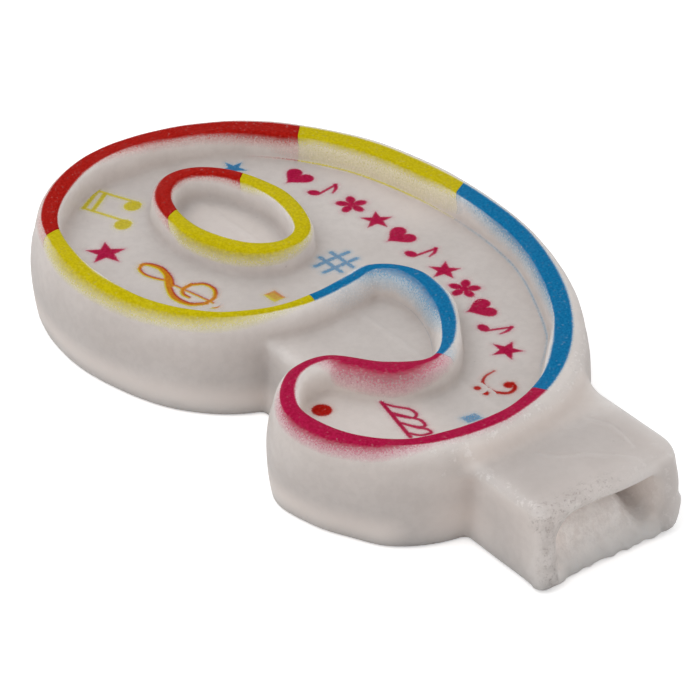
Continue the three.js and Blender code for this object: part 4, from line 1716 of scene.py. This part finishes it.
@dataclass
class PlaitedWick:
    """Cotton wick: three strands wound round each other, waxed, up through the numeral's top.

    Winding and strand are shares of the radius: the winding's own radius and a strand's.
    """

    x: float = -0.7
    z: float = 4.6
    foot_y: float = -26.0
    tip_y: float = 43.9
    radius: float = 0.8
    winding: float = 0.46
    strand: float = 0.54
    strands: int = 3
    turns: float = 17.0
    samples: int = 420

    def tree(self) -> bpy.types.NodeTree:
        """Makes the node tree that winds strands round an upright line.

        Returns:
            The tree, with the sizes as its inputs.
        """
        tree = bpy.data.node_groups.new("wound_strands", "GeometryNodeTree")
        face = tree.interface
        face.new_socket("Geometry", in_out="INPUT", socket_type="NodeSocketGeometry")
        for label, kind in (
            ("Strands", "Int"), ("Length", "Float"), ("Turns", "Float"), ("Winding Radius", "Float"),
            ("Strand Radius", "Float"), ("Material", "Material"),
        ):
            face.new_socket(label, in_out="INPUT", socket_type="NodeSocket" + kind)
        face.new_socket("Geometry", in_out="OUTPUT", socket_type="NodeSocketGeometry")
        n = Nodes(tree)
        start, end = tree.nodes.new("NodeGroupInput").outputs, tree.nodes.new("NodeGroupOutput")
        # One strand: a tube along a line that winds round the middle
        height = n.add("ShaderNodeCombineXYZ", {"Z": start["Length"]}).outputs[0]
        line = n.add("GeometryNodeCurvePrimitiveLine", {"End": height}).outputs[0]
        path = n.add("GeometryNodeResampleCurve", {"Curve": line, "Count": self.samples}).outputs[0]
        factor = n.add("GeometryNodeSplineParameter").outputs["Factor"]
        angle = n.times(n.times(factor, start["Turns"]), math.tau)
        wound = n.add("ShaderNodeCombineXYZ", {
            "X": n.times(n.maths("COSINE", angle), start["Winding Radius"]),
            "Y": n.times(n.maths("SINE", angle), start["Winding Radius"]),
        }).outputs[0]
        path = n.add("GeometryNodeSetPosition", {"Geometry": path, "Offset": wound}).outputs[0]
        circle = {"Resolution": 10, "Radius": start["Strand Radius"]}
        section = n.add("GeometryNodeCurvePrimitiveCircle", circle).outputs[0]
        sweep = {"Curve": path, "Profile Curve": section, "Fill Caps": True}
        tube = n.add("GeometryNodeCurveToMesh", sweep).outputs[0]
        # Copies of it, turned evenly round the middle
        posts = n.add("GeometryNodePoints", {"Count": start["Strands"]}).outputs[0]
        share = n.maths("DIVIDE", n.add("GeometryNodeInputIndex").outputs[0], start["Strands"])
        spin = n.add("ShaderNodeCombineXYZ", {"Z": n.times(share, math.tau)}).outputs[0]
        spread = {"Points": posts, "Instance": tube, "Rotation": spin}
        copies = n.add("GeometryNodeInstanceOnPoints", spread).outputs[0]
        solid = n.add("GeometryNodeRealizeInstances", {"Geometry": copies}).outputs[0]
        smooth = n.add("GeometryNodeSetShadeSmooth", {"Geometry": solid}).outputs[0]
        dressed = n.add("GeometryNodeSetMaterial", {"Geometry": smooth, "Material": start["Material"]})
        n.wire(end, {0: dressed.outputs[0]})
        return tree

    def build(self, material: bpy.types.Material) -> bpy.types.Object:
        """Winds the strands with the node tree and turns them into one mesh.

        Args:
            material: The cotton.

        Returns:
            The piece.
        """
        holder = make_mesh("wick_strands", np.zeros((1, 3)), [])
        modifier = holder.modifiers.new("strands", "NODES")
        modifier.node_group = self.tree()
        values = {
            "Strands": self.strands, "Length": (self.tip_y - self.foot_y) * MM, "Turns": self.turns,
            "Winding Radius": self.radius * self.winding * MM,
            "Strand Radius": self.radius * self.strand * MM, "Material": material,
        }
        for socket in modifier.node_group.interface.items_tree:
            if socket.in_out == "INPUT" and socket.name in values:
                modifier[socket.identifier] = values[socket.name]
        graph = bpy.context.evaluated_depsgraph_get()
        mesh = bpy.data.meshes.new_from_object(holder.evaluated_get(graph))
        bpy.data.objects.remove(holder)
        # Lays the upright wick down along the numeral
        for vertex in mesh.vertices:
            x, y, z = vertex.co
            vertex.co = Vector((self.x * MM + x, self.foot_y * MM + z, self.z * MM - y))
        mesh.update()
        thing = bpy.data.objects.new("wick_plait", mesh)
        bpy.context.scene.collection.objects.link(thing)
        LOG.info("wick_plait: %d faces", len(mesh.polygons))
        return thing


@dataclass
class Print:
    """Every ink area: its drawing, its ink and the node that it stands for."""

    shape: WaxShape
    inks: dict[Ink, bpy.types.Material]
    made: list[tuple[bpy.types.Object, str, str]] = field(default_factory=list)

    # Node, ink, first and last place, slant of the start and of the end
    RIM = (
        ("rim_print_red", Ink.RED, (208.2, 21.8), (0.6, 0.15)),
        ("rim_print_yellow_right", Ink.YELLOW, (21.8, 44.1), (0.15, 0.5)),
        ("rim_print_blue_right", Ink.BLUE, (44.1, 88.0), (0.5, 0.3)),
        ("rim_print_magenta", Ink.MAGENTA, (88.0, 144.8), (0.3, 0.0)),
        ("rim_print_blue_notch", Ink.BLUE, (144.8, 171.5), (0.0, 0.0)),
        ("rim_print_yellow_left", Ink.YELLOW, (171.5, 208.2), (0.0, 0.6)),
    )
    RING = (
        ("counter_print_red", Ink.RED, (33.1, 5.6), (-0.7, -0.25)),
        ("counter_print_yellow", Ink.YELLOW, (5.6, 33.1), (-0.25, -0.7)),
    )

    # Share of the ink that took on the wax, and slip of a whole figure, where they aren't 1 and 0
    FADED = {
        "sharp_sign": 0.72, "confetti_blue": 0.7, "confetti_orange": 0.85, "beamed_notes": 0.9,
        "small_star": 0.9,
    }
    SLIPPED = {"confetti_orange": 0.5}

    # Course, order and half size of the small figures down the stem
    STEM = ((11.4, 24.6), (12.4, 17.6), (12.7, 10.0), (12.3, 2.6), (11.3, -4.2), (9.7, -10.2), (7.3, -15.6))
    ROW = ("heart_1", "note_1", "flower_1", "star_1", "heart_2", "note_2", "star_2", "flower_2", "heart_3",
           "note_3", "star_3")
    FIGURE = 1.75
    FIGURE_BOX = 2.1

    def keep(self, thing: bpy.types.Object, node: str, ink: Ink) -> None:
        """Notes a finished ink area with its node and slot."""
        self.made.append((thing, node, "ink_" + ink.name.lower()))

    def ribs(self) -> None:
        """Makes the ink on the outer rib and on the counter's rib."""
        maker = RimPrint(self.shape)
        outer, counter = self.shape.outer, self.shape.counter
        crest = self.shape.levels.crest
        rim = Bands(outer.length, RIM_SOLID, RIM_SPILLS, RIM_FEET)
        ring = Bands(counter.length, RING_SOLID, RING_SPILLS)
        for curve, bands, side, runs in ((outer, rim, -1.0, self.RIM), (counter, ring, 1.0, self.RING)):
            for node, ink, span, slant in runs:
                skin = maker.strip(node + "_skin", curve, span, slant, bands, side, crest, self.inks[ink])
                self.keep(skin, node, ink)

    def drawings(self) -> list[tuple[str, Ink, Field, tuple[float, float, float, float]]]:
        """Draws the motifs.

        Returns:
            Node, ink, drawing and box of each: lowest and highest X, then lowest and highest Y.
        """
        line = 0.36
        return [
            ("beamed_notes", Ink.YELLOW, both(
                disc(-9.75, 28.2, 1.08, 0.92, 0.35), disc(-6.65, 30.7, 1.08, 0.92, 0.35),
                pen([(-9.0, 28.3), (-11.2, 33.6)], [line]), pen([(-5.8, 30.9), (-7.9, 35.6)], [line]),
                pen([(-11.2, 33.5), (-7.9, 35.5)], [0.5]), pen([(-10.7, 32.5), (-7.5, 34.6)], [0.5]),
            ), (-12.0, -4.6, 27.0, 36.2)),
            ("star", Ink.MAGENTA, star(-14.6, 24.6, 2.2, -1.52), (-17.0, -12.2, 22.2, 27.0)),
            ("treble_clef", Ink.ORANGE, both(
                pen([(-12.9, 15.4), (-12.1, 16.8), (-11.75, 18.6), (-12.3, 20.0), (-13.0, 20.4)],
                    [1.0, 0.75, 0.45]),
                pen([(-12.7, 20.4), (-13.6, 19.9), (-13.8, 18.7), (-13.3, 17.3), (-12.4, 15.9)],
                    [0.4, 0.4, 0.45]),
                pen([(-12.2, 16.9), (-13.4, 14.9), (-14.0, 13.0), (-13.5, 11.1), (-12.0, 10.2)],
                    [0.65, 0.85, 0.5]),
                pen([(-12.5, 10.3), (-10.8, 10.5), (-9.75, 11.8), (-9.95, 13.3), (-11.2, 14.1)],
                    [0.4, 0.5, 0.5]),
                pen([(-11.0, 14.1), (-12.2, 13.9), (-12.9, 13.1), (-12.8, 12.2)], [0.5, 0.5, 0.4]),
                pen([(-12.75, 15.8), (-11.4, 9.9)], [0.3]),
            ), (-14.8, -9.0, 9.4, 21.0)),
            ("clef_dot", Ink.ORANGE, disc(-11.7, 9.2, 0.5, 0.35, -0.4), (-12.4, -11.0, 8.6, 9.8)),
            ("confetti_orange", Ink.ORANGE, polygon(
                [(-6.2, 7.9), (-4.75, 7.9), (-4.7, 6.1), (-6.15, 6.1)],
            ), (-6.5, -4.4, 5.8, 8.2)),
            ("sharp_sign", Ink.BLUE, both(
                pen([(3.05, 6.5), (3.1, 10.1)], [0.55]), pen([(4.65, 6.5), (4.7, 10.15)], [0.55]),
                pen([(1.55, 7.45), (6.1, 7.6)], [0.55]), pen([(1.6, 9.0), (6.15, 9.15)], [0.55]),
            ), (1.0, 6.7, 6.0, 10.7)),
            ("small_star", Ink.BLUE, star(6.9, 30.4, 1.5, 0.3), (5.0, 8.6, 28.6, 32.2)),
            ("bass_clef", Ink.RED, both(
                pen([(3.75, -17.75), (2.3, -18.0), (1.25, -19.0), (1.25, -20.5), (2.3, -21.65),
                     (3.4, -21.4), (3.75, -20.6)], [0.2, 0.42, 0.5]),
                disc(3.25, -20.6, 0.55),
            ), (0.8, 4.2, -22.2, -17.3)),
            ("bass_clef_dot_upper", Ink.RED, disc(0.35, -19.1, 0.36), (-0.2, 0.9, -19.6, -18.6)),
            ("bass_clef_dot_lower", Ink.RED, disc(0.45, -20.3, 0.36), (-0.1, 1.0, -20.8, -19.8)),
            ("confetti_dot", Ink.RED, disc(-14.6, -12.6, 1.05), (-15.8, -13.4, -13.8, -11.4)),
            ("party_hat", Ink.MAGENTA, both(
                pen([(-8.95, -15.15), (-10.5, -21.6)], [0.47]),
                pen([(-9.0, -15.35), (-8.3, -16.6), (-7.5, -17.7), (-7.45, -18.8), (-8.2, -19.2),
                     (-9.4, -17.6)], [line]),
                pen([(-9.3, -17.2), (-8.4, -18.9), (-7.85, -20.0), (-8.1, -21.0), (-8.9, -20.6),
                     (-9.8, -18.9)], [line]),
                pen([(-9.8, -19.0), (-8.9, -20.8), (-8.35, -21.5), (-8.4, -22.3), (-9.5, -22.0),
                     (-10.3, -20.9)], [line]),
            ), (-11.0, -7.0, -22.7, -14.3)),
            ("confetti_blue", Ink.BLUE, polygon(
                [(-4.45, -22.1), (-2.7, -22.35), (-2.6, -23.5), (-4.3, -23.3)],
            ), (-4.8, -2.2, -23.8, -21.8)),
        ]

    def motifs(self) -> None:
        """Makes the figures on the floor."""
        maker = FloorPrint(self.shape)
        figures = self.drawings()
        arc = OpenArc(self.STEM)
        kinds = {"heart": heart, "note": quaver, "flower": flower, "star": star}
        for i, label in enumerate(self.ROW):
            (x, y), turn = arc.at(i / (len(self.ROW) - 1))
            drawing = kinds[label.split("_")[0]](x, y, self.FIGURE, turn)
            reach = self.FIGURE_BOX
            box = (x - reach, x + reach, y - reach, y + reach)
            figures.append(("figure_" + label, Ink.MAGENTA, drawing, box))
        for node, ink, drawing, box in figures:
            strength, lean = self.FADED.get(node, 1.0), self.SLIPPED.get(node, 0.0)
            skin = maker.figure(node + "_skin", drawing, box, self.inks[ink], strength, lean)
            self.keep(skin, node, ink)


class OpenArc:
    """Smooth open arc through knots, read by its share of length."""

    def __init__(self, knots: Sequence[tuple[float, float]]) -> None:
        """Samples the arc finely.

        Args:
            knots: Points that the arc passes through.
        """
        self.points = through(knots, 30)
        steps = np.linalg.norm(np.diff(self.points, axis=0), axis=1)
        self.along = np.concatenate([[0], np.cumsum(steps)]) / steps.sum()

    def spot(self, share: float) -> tuple[float, float]:
        """Point at a share of the length."""
        return tuple(float(np.interp(share, self.along, self.points[:, k])) for k in (0, 1))

    def at(self, share: float) -> tuple[tuple[float, float], float]:
        """Finds a point of the arc and the arc's direction there.

        Args:
            share: Share of the arc's length, from 0 to 1.

        Returns:
            The point, and the direction in radians.
        """
        ahead, back = self.spot(min(share + 0.01, 1)), self.spot(max(share - 0.01, 0))
        return self.spot(share), math.atan2(ahead[1] - back[1], ahead[0] - back[0])


@dataclass
class Studio:
    """Pale floor, soft light and the camera.

    Angles are in degrees. The lens's focal length and the image's width are in pixels, and the
    sensor's width is in millimetres.
    """

    azimuth: float = -39.3
    elevation: float = 33.64
    roll: float = 1.13
    distance: float = 392.5
    focus: tuple[float, float, float] = (-3.08, -2.79, 6.61)
    focal_pixels: float = 3771.0
    image_pixels: int = 700
    sensor: float = 36.0

    # Name, place, aim, side and power of each lamp
    LAMPS = (
        ("key", (-230, 10, 330), (0, 0, 0), 260, 0.52),
        ("fill", (80, 300, 260), (0, 0, 5), 260, 0.10),
    )

    def build(self) -> None:
        """Adds the floor, the lamps, the world and the camera."""
        scene = bpy.context.scene
        scene.view_settings.view_transform = "Standard"
        self.camera(scene)
        self.world(scene)
        self.floor()
        for lamp in self.LAMPS:
            self.lamp(*lamp)

    def camera(self, scene: bpy.types.Scene) -> None:
        """Sets the camera at the photograph's angle.

        Args:
            scene: The scene.
        """
        a, e, r = (math.radians(v) for v in (self.azimuth, self.elevation, self.roll))
        back = Vector((math.sin(a) * math.cos(e), -math.cos(a) * math.cos(e), math.sin(e)))
        right = Vector((math.cos(a), math.sin(a), 0.0))
        up = back.cross(right)
        turned = right * math.cos(r) + up * math.sin(r)
        lifted = up * math.cos(r) - right * math.sin(r)
        data = bpy.data.cameras.new("camera")
        data.sensor_width = self.sensor
        data.lens = self.focal_pixels / self.image_pixels * self.sensor
        data.clip_start, data.clip_end = 0.01, 10.0
        camera = bpy.data.objects.new("camera", data)
        spot = Vector(self.focus) * MM + back * (self.distance * MM)
        camera.matrix_world = Matrix((
            (turned.x, lifted.x, back.x, spot.x), (turned.y, lifted.y, back.y, spot.y),
            (turned.z, lifted.z, back.z, spot.z), (0, 0, 0, 1),
        ))
        scene.collection.objects.link(camera)
        scene.camera = camera

    @staticmethod
    def world(scene: bpy.types.Scene) -> None:
        """Even light from all round, white where the camera sees it.

        Args:
            scene: The scene.
        """
        world = bpy.data.worlds.new("studio")
        scene.world = world
        world.use_nodes = True
        n = Nodes(world.node_tree)
        n.tree.nodes.clear()
        soft = n.add("ShaderNodeBackground", {"Color": (1, 1, 1, 1), "Strength": 0.80})
        white = n.add("ShaderNodeBackground", {"Color": (1, 1, 1, 1), "Strength": 1.0})
        n.add("ShaderNodeOutputWorld", {0: n.seen_by_camera(soft, white)})

    @staticmethod
    def floor() -> None:
        """Adds a pale floor that keeps the candle's shadow."""
        half, drop = 3000.0, -0.06
        corners = [(x * half, y * half, drop) for x, y in ((-1, -1), (1, -1), (1, 1), (-1, 1))]
        plane = make_mesh("floor", np.array(corners), [[0, 1, 2, 3]])
        material = bpy.data.materials.new("floor")
        material.use_nodes = True
        n = Nodes(material.node_tree)
        n.tree.nodes.clear()
        matt = n.add("ShaderNodeBsdfDiffuse", {"Color": (0.86, 0.86, 0.86, 1)})
        glow = n.add("ShaderNodeEmission", {"Color": (1, 1, 1, 1), "Strength": 0.42})
        lit = n.add("ShaderNodeAddShader", {0: matt.outputs[0], 1: glow.outputs[0]})
        grey = n.add("ShaderNodeBsdfDiffuse", {"Color": (0.68, 0.68, 0.68, 1)})
        n.add("ShaderNodeOutputMaterial", {0: n.seen_by_camera(grey, lit)})
        plane.data.materials.append(material)

    @staticmethod
    def lamp(name: str, place: tuple, aim: tuple, size: float, power: float) -> None:
        """Adds a square soft lamp.

        Args:
            name: Name of the lamp.
            place: Where it hangs, in millimetres.
            aim: What it points at, in millimetres.
            size: Side of the square, in millimetres.
            power: Power in watts.
        """
        data = bpy.data.lights.new(name, "AREA")
        data.size = size * MM
        data.energy = power
        thing = bpy.data.objects.new(name, data)
        thing.location = Vector(place) * MM
        thing.rotation_mode = "QUATERNION"
        thing.rotation_quaternion = (Vector(aim) - Vector(place)).to_track_quat("-Z", "Y")
        bpy.context.scene.collection.objects.link(thing)


def main() -> None:
    """Builds the candle piece by piece and reports each."""
    logging.basicConfig(level=logging.INFO, format="%(name)s: %(message)s")
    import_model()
    Studio().build()
    dust = dust_group()
    wax = WaxFinish().build(dust)
    cotton = CottonFinish().build()
    mixed = {Ink.ORANGE: (Ink.RED, Ink.YELLOW)}
    inks = {ink: InkFinish(ink, mixed.get(ink)).build(dust) for ink in Ink}
    shape = WaxShape(Levels(), Plinth())
    body = WaxBody(shape).build(wax)
    pieces: list[tuple[bpy.types.Object, str, str]] = [(body, "wax_body", "wax")]
    pieces.append((PlaitedWick().build(cotton), "wick", "cotton"))
    artwork = Print(shape, inks)
    artwork.ribs()
    artwork.motifs()
    pieces += artwork.made
    for thing, node, slot in pieces:
        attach(thing, "root")
        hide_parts(node)
    LOG.info("pieces: %d", len(pieces))


if __name__ == "__main__":
    main()
